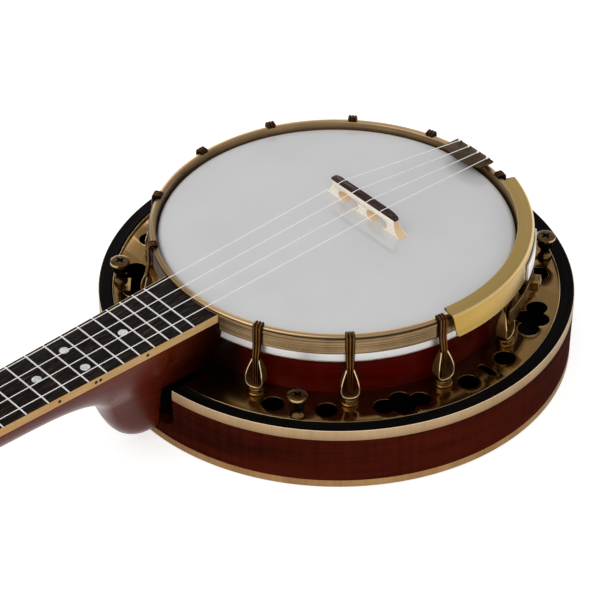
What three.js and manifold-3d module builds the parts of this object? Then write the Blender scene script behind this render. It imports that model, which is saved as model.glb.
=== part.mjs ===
// Banjo ukulele with a resonator: wooden pot, film head, pierced flange, neck and geared tuners.
// Millimetres, +Z up out of the head, +Y along the neck, origin at the centre of the resonator's back.
// Angles about the pot are in degrees from the neck, positive towards the bass side (-X).

import * as THREE from 'three'
import { mergeVertices } from 'three/addons/utils/BufferGeometryUtils.js'
import Module from 'manifold-3d'

const wasm = await Module()
wasm.setup()

// Shared clearances, the overrun of cuts, and facet counts
const fit = 0.3
const runningGap = 0.4
const overrun = 3
const mergeDistance = 0.0001
const potFacets = 56
const postFacets = 12
const holeFacets = 10
const boltFacets = 6

// The radius of the wooden rim, which the pot, the flange and the resonator are laid out from
const rimRadius = 102
const flangeWidth = 28.2

// Resonator
const resonatorWall = 7.8
const resonatorRadius = rimRadius + flangeWidth + resonatorWall
const resonatorTaper = 0.7
const resonatorHeight = 40.9
const backThickness = 3.2
const backChamfer = 1.4
const bindingDepth = 0.9
const topBindingHeight = 7.5
const bottomBindingHeight = 4.7
const bindingLift = 0.2
const lipThickness = 1
const heelNotchHalfWidth = 19.8
const heelNotchFloor = 14.5
const heelNotchCorner = 6

// Flange and its sound holes
const flangeSink = 1.7
const flangeTop = resonatorHeight - flangeSink
const flangeThickness = 1.5
const holeCircleShare = 0.532
const soundHoleShare = 0.22
const holeCircleRadius = rimRadius + holeCircleShare * flangeWidth
const soundHoleRadius = soundHoleShare * flangeWidth
const pairSpread = 2.43 * soundHoleRadius
const clusterSpread = 1.66 * soundHoleRadius
const clusterRise = 0.6 * soundHoleRadius
const slotLength = 1.93 * soundHoleRadius
const slotWidth = 0.71 * soundHoleRadius
const flangeNotchHalfWidth = 17.5
const flangeNotchCorner = 6

// Wooden rim, tone ring, head and hoops
const rimWall = 9.5
const rimDrop = 22.2
const rimRise = 32.3
const rimBottom = flangeTop - rimDrop
const rimTop = flangeTop + rimRise
const rimShoulderWidth = 4.2
const headThickness = 0.5
const headBend = 1.5
const toneRingWidth = 6
const toneRingHeight = 5.4
const headTop = rimTop + fit + toneRingHeight + fit + headThickness
const fleshHoopWidth = 3.1
const fleshHoopHeight = 7.1
const hoopGap = 0.8
const hoopWidth = 4.4
const hoopRadius = rimRadius + fit + headThickness + hoopGap + hoopWidth
const hoopRise = 3.9
const hoopTop = headTop + hoopRise
const hoopHeight = 12.1
const hoopEdge = 0.9
const hoopNotchMargin = 2.2
const hoopNotchHeight = 6.4

// Bracket hooks
const bassHookAngles = [25.9, 53.4, 81.9, 109, 136.6, 166.2]
const trebleHookAngles = [-27.7, -54.3, -82.3, -108.7, -135.6, -162.2]
const hookWidth = 5.2
const hookThickness = 1.4
const hookLipLength = 4.2
const hookTaperHeight = 14.5
const shankRadius = 1.3
const shankOffset = 2.6
const shankCircleRadius = hoopRadius + shankOffset
const stirrupRadius = 5.6
const stirrupBand = 1.3
const stirrupHeight = 21.5
const stirrupDepth = 3.6
const stirrupMouth = 2.1
const collarRadius = 4.9
const collarHeight = 4.4
const flangeNutRadius = 3
const flangeNutHeight = 2.4

// Screws that hold the resonator, and the lugs that take them
const resonatorScrewAngles = [39.7, 151.5, -149, -40]
const screwInset = 5.2
const screwCircleRadius = rimRadius + flangeWidth - screwInset
const screwHeadRadius = 5.8
const screwHeadHeight = 3.2
const screwDome = 1.4
const screwConeRadius = 4.6
const screwConeHeight = 3
const screwNeckRadius = 2.2
const screwNeckHeight = 4.6
const screwFerruleRadius = 4.1
const screwFerruleHeight = 4.4
const screwStudRadius = 2
const screwReach = 11
const recessWidth = 1
const recessLength = 5
const recessDepth = 1.4
const lugWidth = 12
const lugDepth = 10
const lugHeight = 9

// Neck, fingerboard and nut
const scaleLength = 402
const bridgePlaceShare = 0.2
const scaleStartY = -bridgePlaceShare * rimRadius
const fretMargin = 9
const fretCount = Math.floor(12 * Math.log2(scaleLength / (hoopRadius + fretMargin - scaleStartY)))
const boardSetback = 2
const boardRise = 2.3
const boardReferenceY = hoopRadius + boardSetback
const boardReferenceHalfWidth = 23.3
const boardReferenceTop = headTop + boardRise
const boardNarrowing = 0.0241
const neckFall = 0.05
const boardThickness = 5.2
const boardBinding = 1.2
const fretWidth = 2
const fretHeight = 0.7
const neckEndGap = 1.5
const neckDepth = 31.9
const nutThickness = 5
const nutRise = 1.7
const heelBottom = 4
const heelOverlap = 6.7
const heelReach = 33.9
const heelHalfWidth = 14.5
const heelRootHalfWidth = 10
const heelRootRise = 1.5

// Headstock
const headstockAngle = 12
const headstockLength = 104
const headstockHalfWidth = 27
const headstockThickness = 12.5
const overlayThickness = 1.5

// Strings and bridge
const stringRadius = 0.4
const bridgeStringSpacing = 12.2
const nutStringSpacing = 9.6
const tailStringSpacing = 8
const nutStringRise = 1.2
const bridgeFront = 1
const bridgeHeight = 13.5
const bridgeHalfWidth = 32.5
const bridgeFlare = 5.5
const bridgeCrownHalfWidth = bridgeHalfWidth - bridgeFlare
const bridgeFootDepth = 6.6
const bridgeCrownDepth = 3.1
const bridgeFootHeight = 2.2
const bridgeCapHeight = 3.5
const bridgeCapHalfWidth = bridgeCrownHalfWidth + 1
const archCentre = 0.3815 * bridgeHalfWidth
const archHalfWidth = 0.274 * bridgeHalfWidth
const archHalfHeight = 3.1
const archMouthHalfWidth = 3.7
const archLift = 3.4
const stringSlotDepth = 0.7

// Tailpiece, its bolt and the coordinator rod
const tailRise = 3.4
const tailTop = hoopTop + tailRise
const tailThickness = 1.6
const tailHalfWidth = 15.6
const tailInset = 0.4
const tailRearRadius = hoopRadius - tailInset
const tailLength = 9.4
const tailCrown = 4.6
const tailLegWidth = 12
const tailDrop = 3.2
const rodRadius = 3.2
const rodRise = 8.3
const rodHeight = flangeTop + rodRise
const tailLegDrop = 5.5
const tailLegBottom = rodHeight - tailLegDrop
const rodGrip = 15
const tailNutRadius = 5
const tailNutLength = 5.4
const tailNutThread = 3.2

// Armrest and its bracket
const armrestStartAngle = 83.9
const armrestEndAngle = 161.6
const armrestSlantAngle = 1.8
const armrestRise = 3.3
const armrestTop = hoopTop + armrestRise
const armrestThickness = 1.1
const armrestInside = 4.7
const armrestOutside = 4.9
const armrestInnerRadius = hoopRadius - armrestInside
const armrestOuterRadius = hoopRadius + armrestOutside
const armrestSkirtHeight = 15.6
const armrestEdge = 1.8
const bracketStartAngle = 107.6
const bracketEndAngle = 129
const bracketTabAngle = 117.5
const bracketThickness = 1.1
const bracketRise = 14.8
const bracketBottom = flangeTop + bracketRise
const bracketBarHeight = 10
const bracketTabHeight = 25
const clampAngle = 127.3
const clampWidth = 8
const clampDepth = 4.4
const clampHeight = 11

// Tuners
const postAcross = 14.5
const postRows = [0.2885 * headstockLength, 0.654 * headstockLength]
const postRadius = 3
const postHeight = 9.6
const postCapRadius = 4.4
const postCapHeight = 1.4
const wrapGap = 0.5
const wrapPitch = 1.1
const wrapTurns = 1.5
const wrapStepsPerTurn = 8
const wrapHeight = 6.6
const gearRadius = 5.4
const gearToothDepth = 0.8
const gearTeeth = 14
const gearThickness = 3
const wormRadius = 2.4
const wormLength = 9
const wormShaftRadius = 1.5
const wormClearance = 0.5
const plateThickness = 1.2
const plateMargin = 2.6
const bearingThickness = 1.6
const bearingHalfWidth = 2.8
const buttonReach = 6
const buttonLength = 12
const buttonHalfWidth = 7
const buttonHalfThickness = 3.2

// Materials
const finish = (color, roughness, metalness) => new THREE.MeshStandardMaterial({ color, roughness, metalness })
const mahogany = finish(0x5a2016, 0.35, 0)
const darkMahogany = finish(0x3c0f0e, 0.4, 0)
const blondWood = finish(0xb28c5c, 0.45, 0)
const blackLacquer = finish(0x15131a, 0.5, 0)
const brass = finish(0xa8843f, 0.35, 0.9)
const bronze = finish(0x5c4124, 0.4, 0.9)
const paleMetal = finish(0xc9cacf, 0.4, 0.7)
const whiteFilm = finish(0xcccccf, 0.5, 0)
const paleMaple = finish(0xf0ddc0, 0.5, 0)
const ebony = finish(0x3a3030, 0.45, 0)
const rosewood = finish(0x2a2320, 0.6, 0)
const bone = finish(0xe6dcc6, 0.4, 0)
const nylon = finish(0xd9d6cf, 0.3, 0)
const pearl = finish(0xdedad0, 0.3, 0)

const instrument = new THREE.Group()

// Adds one named piece to a group.
function addPiece(name, geometry, material, parent = instrument) {
  const mesh = new THREE.Mesh(geometry, material)
  mesh.name = name
  parent.add(mesh)
  return mesh
}

// Six times the volume inside a closed mesh, negative where its faces point inwards.
function signedVolume(geometry) {
  const place = geometry.getAttribute('position')
  const order = geometry.getIndex()
  const [a, b, c] = [new THREE.Vector3(), new THREE.Vector3(), new THREE.Vector3()]
  let sum = 0
  for (let i = 0; i < order.count; i += 3) {
    a.fromBufferAttribute(place, order.getX(i))
    b.fromBufferAttribute(place, order.getX(i + 1))
    c.fromBufferAttribute(place, order.getX(i + 2))
    sum += a.dot(b.cross(c))
  }
  return sum
}

// Merges shared corners, drops empty faces and turns every face outwards.
function sealed(geometry) {
  const bare = geometry.clone()
  bare.deleteAttribute('normal')
  bare.deleteAttribute('uv')
  const merged = mergeVertices(bare, mergeDistance)
  const source = merged.getIndex().array
  const kept = []
  for (let i = 0; i < source.length; i += 3) {
    const [a, b, c] = [source[i], source[i + 1], source[i + 2]]
    if (a !== b && b !== c && c !== a) kept.push(a, b, c)
  }
  merged.setIndex(kept)
  if (signedVolume(merged) >= 0) return merged
  const turnedOver = kept.map((unused, i) => kept[i - (i % 3) + [0, 2, 1][i % 3]])
  merged.setIndex(turnedOver)
  return merged
}

function toSolid(geometry) {
  const closed = sealed(geometry)
  const vertProperties = new Float32Array(closed.getAttribute('position').array)
  const triVerts = new Uint32Array(closed.getIndex().array)
  return new wasm.Manifold(new wasm.Mesh({ numProp: 3, vertProperties, triVerts }))
}

function toGeometry(solid) {
  const mesh = solid.getMesh()
  const geometry = new THREE.BufferGeometry()
  geometry.setAttribute('position', new THREE.BufferAttribute(new Float32Array(mesh.vertProperties), 3))
  geometry.setIndex(Array.from(mesh.triVerts))
  return geometry
}

function cut(geometry, tools) {
  return toGeometry(tools.reduce((solid, tool) => solid.subtract(toSolid(tool)), toSolid(geometry)))
}

function join(geometries) {
  const [first, ...others] = geometries.map(toSolid)
  return toGeometry(others.reduce((solid, other) => solid.add(other), first))
}

function common(first, second) {
  return toGeometry(toSolid(first).intersect(toSolid(second)))
}

// Turns a profile of [radius, height] pairs, closed or ending on the axis, round the Z axis.
function turned(profile, facets = potFacets) {
  const points = profile.map(([radius, height]) => new THREE.Vector2(radius, height))
  return sealed(new THREE.LatheGeometry(points, facets).rotateX(Math.PI / 2))
}

// A ring between two radii and two heights.
function ringWall(inner, outer, bottom, top, facets = potFacets) {
  return turned([[inner, bottom], [outer, bottom], [outer, top], [inner, top], [inner, bottom]], facets)
}

// A plain round pin standing on the Z axis.
function pin(radius, bottom, top, facets = postFacets) {
  return turned([[0, bottom], [radius, bottom], [radius, top], [0, top]], facets)
}

// A box given by its lowest and highest corners.
function block(low, high) {
  const box = new THREE.BoxGeometry(high[0] - low[0], high[1] - low[1], high[2] - low[2])
  return box.translate((low[0] + high[0]) / 2, (low[1] + high[1]) / 2, (low[2] + high[2]) / 2)
}

// A flat outline in X and Y raised from one height to another.
function slab(shape, bottom, top, curveSegments = 6) {
  const depth = top - bottom
  const raised = new THREE.ExtrudeGeometry(shape, { depth, bevelEnabled: false, steps: 1, curveSegments })
  return sealed(raised.translate(0, 0, bottom))
}

// A shape through corner points given as [x, y] pairs.
function outline(points) {
  return new THREE.Shape(points.map(([x, y]) => new THREE.Vector2(x, y)))
}

// An outline whose X and Y become Y and Z, extruded to both sides of the plane X = 0.
function sideSlab(shape, halfWidth, curveSegments = 6) {
  return slab(shape, -halfWidth, halfWidth, curveSegments).rotateX(Math.PI / 2).rotateZ(Math.PI / 2)
}

// A flat ring of corners in the two axes of its own plane, wound counter-clockwise.
function flattened(ring) {
  const normal = new THREE.Vector3()
  const corner = new THREE.Vector3()
  const next = new THREE.Vector3()
  ring.forEach((point, i) => {
    corner.subVectors(point, ring[0])
    next.subVectors(ring[(i + 1) % ring.length], ring[0])
    normal.add(corner.cross(next))
  })
  const across = new THREE.Vector3().subVectors(ring[1], ring[0]).normalize()
  const up = normal.normalize().cross(across)
  return ring.map((point) => {
    corner.subVectors(point, ring[0])
    return new THREE.Vector2(corner.dot(across), corner.dot(up))
  })
}

// The triangles that close a ring of corners, wound like the ring.
function capFaces(ring) {
  const flat = flattened(ring)
  return THREE.ShapeUtils.triangulateShape(flat, []).map(([a, b, c]) => {
    const area = THREE.ShapeUtils.area([flat[a], flat[b], flat[c]])
    return area < 0 ? [a, c, b] : [a, b, c]
  })
}

// Rings of corners skinned one to the next, closed at both ends.
function skinned(rings) {
  const sides = rings[0].length
  const positions = rings.flat().flatMap((point) => [point.x, point.y, point.z])
  const faces = []
  for (let low = 0; low < (rings.length - 1) * sides; low += sides) {
    const high = low + sides
    for (let j = 0; j < sides; j += 1) {
      const next = (j + 1) % sides
      faces.push(low + j, low + next, high + next, low + j, high + next, high + j)
    }
  }
  const last = (rings.length - 1) * sides
  for (const [a, b, c] of capFaces(rings[0])) faces.push(a, c, b)
  for (const [a, b, c] of capFaces(rings.at(-1))) faces.push(last + a, last + b, last + c)
  const geometry = new THREE.BufferGeometry()
  geometry.setAttribute('position', new THREE.Float32BufferAttribute(positions, 3))
  geometry.setIndex(faces)
  return sealed(geometry)
}

// An angle from the neck as an angle about Z from the X axis, in radians.
function aboutZ(fromNeck) {
  return THREE.MathUtils.degToRad(90 + fromNeck)
}

function onCircle(radius, fromNeck, height = 0) {
  const angle = aboutZ(fromNeck)
  return new THREE.Vector3(radius * Math.cos(angle), radius * Math.sin(angle), height)
}

// A section of [radius, height, lead] corners swept round the pot; a lead is degrees lost at the start.
function sweptSection(section, start, end) {
  const steps = Math.round(((end - start) / 360) * potFacets)
  const rings = Array.from({ length: steps + 1 }, (unused, i) => {
    const progress = i / steps
    const angle = start + (end - start) * progress
    return section.map(([radius, height, lead = 0]) => onCircle(radius, angle + lead * (1 - progress), height))
  })
  return skinned(rings)
}

// Resonator levels and radii
const wallInner = resonatorRadius - resonatorWall
const wallTop = resonatorHeight - lipThickness - fit
const topBindingInner = resonatorRadius - bindingDepth
const topBindingBottom = resonatorHeight - topBindingHeight
const footRadius = resonatorRadius - resonatorTaper
const bottomBindingInner = footRadius - bindingDepth
const bottomBindingTop = bindingLift + bottomBindingHeight

// The opening in the resonator's side that lets the heel through.
function heelNotch() {
  const low = heelNotchFloor + heelNotchCorner
  const cornerX = heelNotchHalfWidth - heelNotchCorner
  const top = resonatorHeight + overrun
  const shape = new THREE.Shape()
  shape.absarc(-cornerX, low, heelNotchCorner, Math.PI, 1.5 * Math.PI, false)
  shape.absarc(cornerX, low, heelNotchCorner, 1.5 * Math.PI, 2 * Math.PI, false)
  shape.lineTo(heelNotchHalfWidth, top)
  shape.lineTo(-heelNotchHalfWidth, top)
  const inside = Math.sqrt(wallInner ** 2 - heelNotchHalfWidth ** 2) - overrun
  const outside = resonatorRadius + overrun
  return slab(shape, -outside, -inside, 3).rotateX(Math.PI / 2)
}

function addResonator() {
  const back = [
    [0, 0],
    [bottomBindingInner - fit - backChamfer, 0],
    [bottomBindingInner - fit, backChamfer],
    [bottomBindingInner - fit, backThickness],
    [0, backThickness],
  ]
  addPiece('resonator_back', turned(back), mahogany)
  const wall = [
    [wallInner, backThickness + fit],
    [bottomBindingInner - fit, backThickness + fit],
    [bottomBindingInner - fit, bottomBindingTop + fit],
    [footRadius, bottomBindingTop + fit],
    [resonatorRadius, topBindingBottom - fit],
    [topBindingInner - fit, topBindingBottom - fit],
    [topBindingInner - fit, wallTop],
    [wallInner, wallTop],
    [wallInner, backThickness + fit],
  ]
  addPiece('resonator_wall', cut(turned(wall), [heelNotch()]), mahogany)
  const lip = ringWall(wallInner, topBindingInner - fit, wallTop + fit, resonatorHeight)
  addPiece('resonator_lip', cut(lip, [heelNotch()]), blackLacquer)
  const topBinding = ringWall(topBindingInner, resonatorRadius, topBindingBottom, resonatorHeight)
  addPiece('resonator_top_binding', cut(topBinding, [heelNotch()]), blondWood)
  const bottomBinding = ringWall(bottomBindingInner, footRadius, bindingLift, bottomBindingTop)
  addPiece('resonator_bottom_binding', bottomBinding, blondWood)
}

// The middle of each gap between neighbouring hooks on one side.
const gapAngles = (hooks) => hooks.slice(1).map((angle, i) => (angle + hooks[i]) / 2)
const tailGapAngle = (bassHookAngles.at(-1) + trebleHookAngles.at(-1) + 360) / 2
const hookAngles = [...bassHookAngles, ...trebleHookAngles]

// Flange levels and radii
const flangeBottom = flangeTop - flangeThickness
const flangeInner = rimRadius + fit
const flangeOuter = wallInner - fit

// A drill through the flange at a place on the hole circle.
function flangeDrill(angle, across, outward, radius, facets = holeFacets) {
  const drill = pin(radius, flangeBottom - overrun, flangeTop + overrun, facets)
  return drill.translate(holeCircleRadius + outward, across, 0).rotateZ(aboutZ(angle))
}

// Two round holes with a radial slot between them.
function pairPattern(angle) {
  const end = slotWidth / 2
  const inner = holeCircleRadius - slotLength / 2 + end
  const outer = holeCircleRadius + slotLength / 2 - end
  const shape = new THREE.Shape()
  shape.absarc(outer, 0, end, -Math.PI / 2, Math.PI / 2, false)
  shape.absarc(inner, 0, end, Math.PI / 2, 1.5 * Math.PI, false)
  const slot = slab(shape, flangeBottom - overrun, flangeTop + overrun, 3).rotateZ(aboutZ(angle))
  return [slot, ...[-pairSpread, pairSpread].map((across) => flangeDrill(angle, across, 0, soundHoleRadius))]
}

// Four round holes that run into one another.
function clusterPattern(angle) {
  const places = [[-clusterSpread, 0], [clusterSpread, 0], [0, clusterRise], [0, -clusterRise]]
  return places.map(([across, outward]) => flangeDrill(angle, across, outward, soundHoleRadius))
}

// The opening that lets the neck's heel through the flange.
function neckNotch() {
  const half = flangeNotchHalfWidth
  const flare = flangeNotchCorner
  const outer = flangeOuter + overrun
  const shape = new THREE.Shape()
  shape.moveTo(-half, rimRadius - rimWall)
  shape.lineTo(half, rimRadius - rimWall)
  shape.lineTo(half, flangeOuter - flare)
  shape.quadraticCurveTo(half, outer, half + flare, outer)
  shape.lineTo(-half - flare, outer)
  shape.quadraticCurveTo(-half, outer, -half, flangeOuter - flare)
  return slab(shape, flangeBottom - overrun, flangeTop + overrun, 4)
}

function addFlange() {
  const tools = [neckNotch(), ...clusterPattern(tailGapAngle)]
  for (const hooks of [bassHookAngles, trebleHookAngles]) {
    gapAngles(hooks).forEach((angle, i) => tools.push(...(i % 2 ? clusterPattern(angle) : pairPattern(angle))))
  }
  for (const angle of resonatorScrewAngles) {
    tools.push(flangeDrill(angle, 0, screwCircleRadius - holeCircleRadius, screwStudRadius + runningGap))
  }
  for (const angle of hookAngles) {
    const outward = shankCircleRadius - holeCircleRadius
    tools.push(flangeDrill(angle, 0, outward, shankRadius + fit, boltFacets))
  }
  const plate = ringWall(flangeInner, flangeOuter, flangeBottom, flangeTop)
  addPiece('flange', cut(plate, tools), brass)
}

// Pot levels and radii
const rimInner = rimRadius - rimWall
const rimShoulderRadius = rimRadius + rimShoulderWidth
const headBottom = headTop - headThickness
const toneRingTop = headBottom - fit
const skirtInner = rimRadius + fit
const skirtOuter = skirtInner + headThickness
const hoopInner = hoopRadius - hoopWidth
const hoopBottom = hoopTop - hoopHeight
const fleshHoopRadius = skirtInner + fleshHoopWidth
const fleshHoopTop = hoopBottom - fit
const fleshHoopBottom = fleshHoopTop - fleshHoopHeight

// The space that the coordinator rod takes through whatever it passes.
function rodBore(from, to) {
  return pin(rodRadius + fit, from, to).rotateX(-Math.PI / 2).translate(0, 0, rodHeight)
}

function addPot() {
  const rim = [
    [rimInner, rimBottom],
    [rimShoulderRadius, rimBottom],
    [rimShoulderRadius, flangeBottom - fit],
    [rimRadius, flangeBottom - fit],
    [rimRadius, rimTop],
    [rimInner, rimTop],
    [rimInner, rimBottom],
  ]
  const across = rodBore(-rimRadius - overrun, rimRadius + overrun)
  addPiece('pot_rim', cut(turned(rim), [across]), darkMahogany)
  const toneInner = rimRadius - toneRingWidth
  const toneOuter = skirtInner - headBend / 2
  const tone = [
    [toneInner, rimTop + fit],
    [toneOuter, rimTop + fit],
    [toneOuter - headBend, toneRingTop],
    [toneInner, toneRingTop],
    [toneInner, rimTop + fit],
  ]
  addPiece('tone_ring', turned(tone), brass)
  const head = [
    [0, headBottom],
    [skirtInner - headBend, headBottom],
    [skirtInner, headBottom - headBend],
    [skirtInner, hoopBottom],
    [skirtOuter, hoopBottom],
    [skirtOuter, headTop - headBend],
    [skirtOuter - headBend, headTop],
    [0, headTop],
  ]
  addPiece('drum_head', turned(head), whiteFilm)
  addPiece('flesh_hoop', ringWall(skirtInner, fleshHoopRadius, fleshHoopBottom, fleshHoopTop), paleMetal)
  const hoop = [
    [hoopInner, hoopBottom],
    [hoopRadius, hoopBottom],
    [hoopRadius, hoopTop - hoopEdge],
    [hoopRadius - hoopEdge, hoopTop],
    [hoopInner + hoopEdge, hoopTop],
    [hoopInner, hoopTop - hoopEdge],
    [hoopInner, hoopBottom],
  ]
  const notchHalf = boardReferenceHalfWidth + hoopNotchMargin
  const notch = block(
    [-notchHalf, rimInner, hoopBottom - overrun],
    [notchHalf, hoopRadius + overrun, hoopBottom + hoopNotchHeight],
  )
  addPiece('tension_hoop', cut(turned(hoop), [notch]), brass)
}

// Hook levels; a hook is drawn on the X axis and turned to its place
const strapInner = hoopRadius + fit
const strapOuter = strapInner + hookThickness
const strapTop = hoopTop + fit + hookThickness
const strapBottom = strapTop - hookTaperHeight
const collarBottom = flangeTop + fit
const collarTop = collarBottom + collarHeight
const stirrupBottom = collarTop - stirrupBand
const stirrupTop = stirrupBottom + stirrupHeight

// The flat strap that bends over the tension hoop.
function hookStrap() {
  const lip = hoopRadius - hookLipLength
  const shape = outline([
    [strapInner, strapBottom],
    [strapOuter, strapBottom],
    [strapOuter, strapTop - hookThickness],
    [strapOuter - hookThickness, strapTop],
    [lip, strapTop],
    [lip, hoopTop + fit],
    [strapInner, hoopTop + fit],
  ])
  return slab(shape, -hookWidth / 2, hookWidth / 2).rotateX(Math.PI / 2)
}

// The strap narrowing to a square shank that runs down to the collar.
function hookShank() {
  const shankInner = shankCircleRadius - shankRadius
  const shankOuter = shankCircleRadius + shankRadius
  const levels = [
    [strapBottom + stirrupBand, strapInner, strapOuter, hookWidth / 2],
    [stirrupTop, shankInner, shankOuter, shankRadius],
    [collarBottom + collarHeight / 2, shankInner, shankOuter, shankRadius],
  ]
  const rings = levels.map(([height, inner, outer, half]) => [
    new THREE.Vector3(inner, -half, height),
    new THREE.Vector3(outer, -half, height),
    new THREE.Vector3(outer, half, height),
    new THREE.Vector3(inner, half, height),
  ])
  return skinned(rings)
}

// A drop shape, round below and narrow above, drawn inwards by a wall.
function dropShape(wall) {
  const radius = stirrupRadius - wall
  const centre = stirrupBottom + stirrupRadius
  const mouth = stirrupMouth - wall / 2
  const shape = new THREE.Shape()
  shape.absarc(0, centre, radius, Math.PI, 2 * Math.PI, false)
  shape.lineTo(mouth, stirrupTop - wall)
  shape.lineTo(-mouth, stirrupTop - wall)
  return shape
}

function hookStirrup() {
  const body = sideSlab(dropShape(0), stirrupDepth / 2, 3)
  const inside = sideSlab(dropShape(stirrupBand), stirrupDepth / 2 + overrun, 3)
  return cut(body, [inside]).translate(shankCircleRadius, 0, 0)
}

// The collar on the flange, its bolt through the flange and the nut below.
function hookFoot() {
  const nutTop = flangeBottom - fit
  const profile = [
    [0, nutTop - flangeNutHeight],
    [flangeNutRadius, nutTop - flangeNutHeight],
    [flangeNutRadius, nutTop],
    [shankRadius, nutTop],
    [shankRadius, collarBottom],
    [collarRadius, collarBottom],
    [collarRadius, collarTop],
    [0, collarTop],
  ]
  return turned(profile, boltFacets).translate(shankCircleRadius, 0, 0)
}

function addHooks() {
  const hook = join([hookStrap(), hookShank(), hookStirrup(), hookFoot()])
  hookAngles.forEach((angle, i) => {
    addPiece(`hook_${i + 1}`, hook, bronze).rotation.z = aboutZ(angle)
  })
}

// One resonator screw on the Z axis, from its stud to the cross in its head.
function resonatorScrew() {
  const foot = flangeTop + fit
  const ferruleTop = foot + screwFerruleHeight
  const neckTop = ferruleTop + screwNeckHeight
  const coneTop = neckTop + screwConeHeight
  const top = coneTop + screwHeadHeight
  const profile = [
    [0, foot - screwReach],
    [screwStudRadius, foot - screwReach],
    [screwStudRadius, foot],
    [screwFerruleRadius, foot],
    [screwFerruleRadius, foot + screwFerruleHeight / 2],
    [screwNeckRadius, ferruleTop],
    [screwNeckRadius, neckTop],
    [screwConeRadius, coneTop],
    [screwHeadRadius, coneTop],
    [screwHeadRadius, top - screwDome],
    [screwHeadRadius / 2, top - screwDome / 4],
    [0, top],
  ]
  const half = [recessLength / 2, recessWidth / 2]
  const floor = top - recessDepth
  const slotAcross = block([-half[0], -half[1], floor], [half[0], half[1], top + overrun])
  const slotAlong = block([-half[1], -half[0], floor], [half[1], half[0], top + overrun])
  return cut(turned(profile, postFacets), [slotAcross, slotAlong])
}

// One threaded lug on the resonator's inner wall, drawn on the X axis.
function resonatorLug() {
  const outer = Math.sqrt((wallInner * Math.cos(Math.PI / potFacets)) ** 2 - (lugWidth / 2) ** 2) - fit
  const top = flangeBottom - fit
  const bottom = top - lugHeight
  const body = block([outer - lugDepth, -lugWidth / 2, bottom], [outer, lugWidth / 2, top])
  const bore = pin(screwStudRadius + runningGap, bottom - overrun, top + overrun)
  return cut(body, [bore.translate(screwCircleRadius, 0, 0)])
}

function addResonatorScrews() {
  const screw = resonatorScrew()
  const lug = resonatorLug()
  resonatorScrewAngles.forEach((angle, i) => {
    addPiece(`resonator_screw_${i + 1}`, screw, brass).position.copy(onCircle(screwCircleRadius, angle))
    addPiece(`resonator_lug_${i + 1}`, lug, brass).rotation.z = aboutZ(angle)
  })
}

// Fingerboard levels and widths along the neck
const boardTop = (y) => boardReferenceTop - neckFall * (y - boardReferenceY)
const boardHalf = (y) => boardReferenceHalfWidth - boardNarrowing * (y - boardReferenceY)
const woodTop = (y) => boardTop(y) - boardThickness - fit
const nutY = scaleStartY + scaleLength
const nutBackY = nutY + nutThickness

// Lets a level piece follow the fall of the neck.
function leaned(geometry) {
  const lean = new THREE.Matrix4()
  lean.set(1, 0, 0, 0, 0, 1, 0, 0, 0, -neckFall, 1, neckFall * boardReferenceY, 0, 0, 0, 1)
  return geometry.applyMatrix4(lean)
}

// The plan between two long edges, hollowed at its near end to follow the hoop.
function boardPlan(leftOf, rightOf) {
  const near = hoopRadius + fit
  const far = nutY - fit
  const steps = 8
  const points = [[leftOf(far), far]]
  for (let i = 0; i <= steps; i += 1) {
    const x = leftOf(near) + ((rightOf(near) - leftOf(near)) * i) / steps
    points.push([x, Math.sqrt(near ** 2 - x ** 2)])
  }
  points.push([rightOf(far), far])
  return outline(points)
}

function addFingerboard() {
  const top = boardReferenceTop
  const bottom = top - boardThickness
  const inset = boardBinding + fit
  const board = boardPlan((y) => inset - boardHalf(y), (y) => boardHalf(y) - inset)
  const pieces = [slab(board, bottom, top)]
  for (let fret = 1; fret <= fretCount; fret += 1) {
    const y = scaleStartY + scaleLength * 2 ** (-fret / 12)
    const half = boardHalf(y) - inset
    pieces.push(block([-half, y - fretWidth / 2, top - fretHeight], [half, y + fretWidth / 2, top + fretHeight]))
  }
  addPiece('fingerboard', leaned(join(pieces)), rosewood)
  const bass = boardPlan((y) => -boardHalf(y), (y) => boardBinding - boardHalf(y))
  const treble = boardPlan((y) => boardHalf(y) - boardBinding, boardHalf)
  addPiece('fingerboard_binding_bass', leaned(slab(bass, bottom, top)), blondWood)
  addPiece('fingerboard_binding_treble', leaned(slab(treble, bottom, top)), blondWood)
}

// Where the strings run, as string numbers from the bass side
const stringShares = [-1.5, -0.5, 0.5, 1.5]
const bridgeTop = headTop + fit + bridgeHeight
const bridgeStringHeight = bridgeTop - stringSlotDepth + fit + stringRadius
const nutStringHeight = boardTop(nutY) + nutStringRise
const nutBackStringHeight = nutStringHeight - neckFall * nutThickness
const slotHalfWidth = stringRadius + fit

function addNut() {
  const half = boardHalf(nutY)
  const top = boardTop(nutY) + nutRise
  const body = block([-half, nutY, woodTop(nutY) + fit], [half, nutBackY, top])
  const floor = nutBackStringHeight - stringRadius - fit
  const slots = stringShares.map((share) => {
    const x = share * nutStringSpacing
    return block([x - slotHalfWidth, nutY - overrun, floor], [x + slotHalfWidth, nutBackY + overrun, top + overrun])
  })
  addPiece('nut', cut(body, slots), bone)
}

// Depth of the neck as shares of its depth at the heel, at shares of the way from the rim to the nut.
const neckDepthShares = [
  [0, 1],
  [0.246, 1],
  [0.268, 0.972],
  [0.292, 0.909],
  [0.327, 0.768],
  [0.363, 0.652],
  [0.42, 0.514],
  [0.478, 0.467],
  [0.7, 0.439],
  [1, 0.414],
]

// Heel slices from its foot up, as shares of its height, its reach beyond the wall and its half width.
const heelShares = [
  [0, 0.19, 0.34],
  [0.054, 0.395, 0.48],
  [0.152, 0.593, 0.565],
  [0.283, 0.749, 0.63],
  [0.435, 0.882, 0.675],
  [0.587, 0.956, 0.715],
  [0.717, 0.985, 0.76],
  [0.85, 1, 0.85],
  [1, 0.93, 1],
]

const heelTop = woodTop(rimRadius) - neckDepth + heelOverlap
const heelHeight = heelTop - heelBottom

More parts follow.
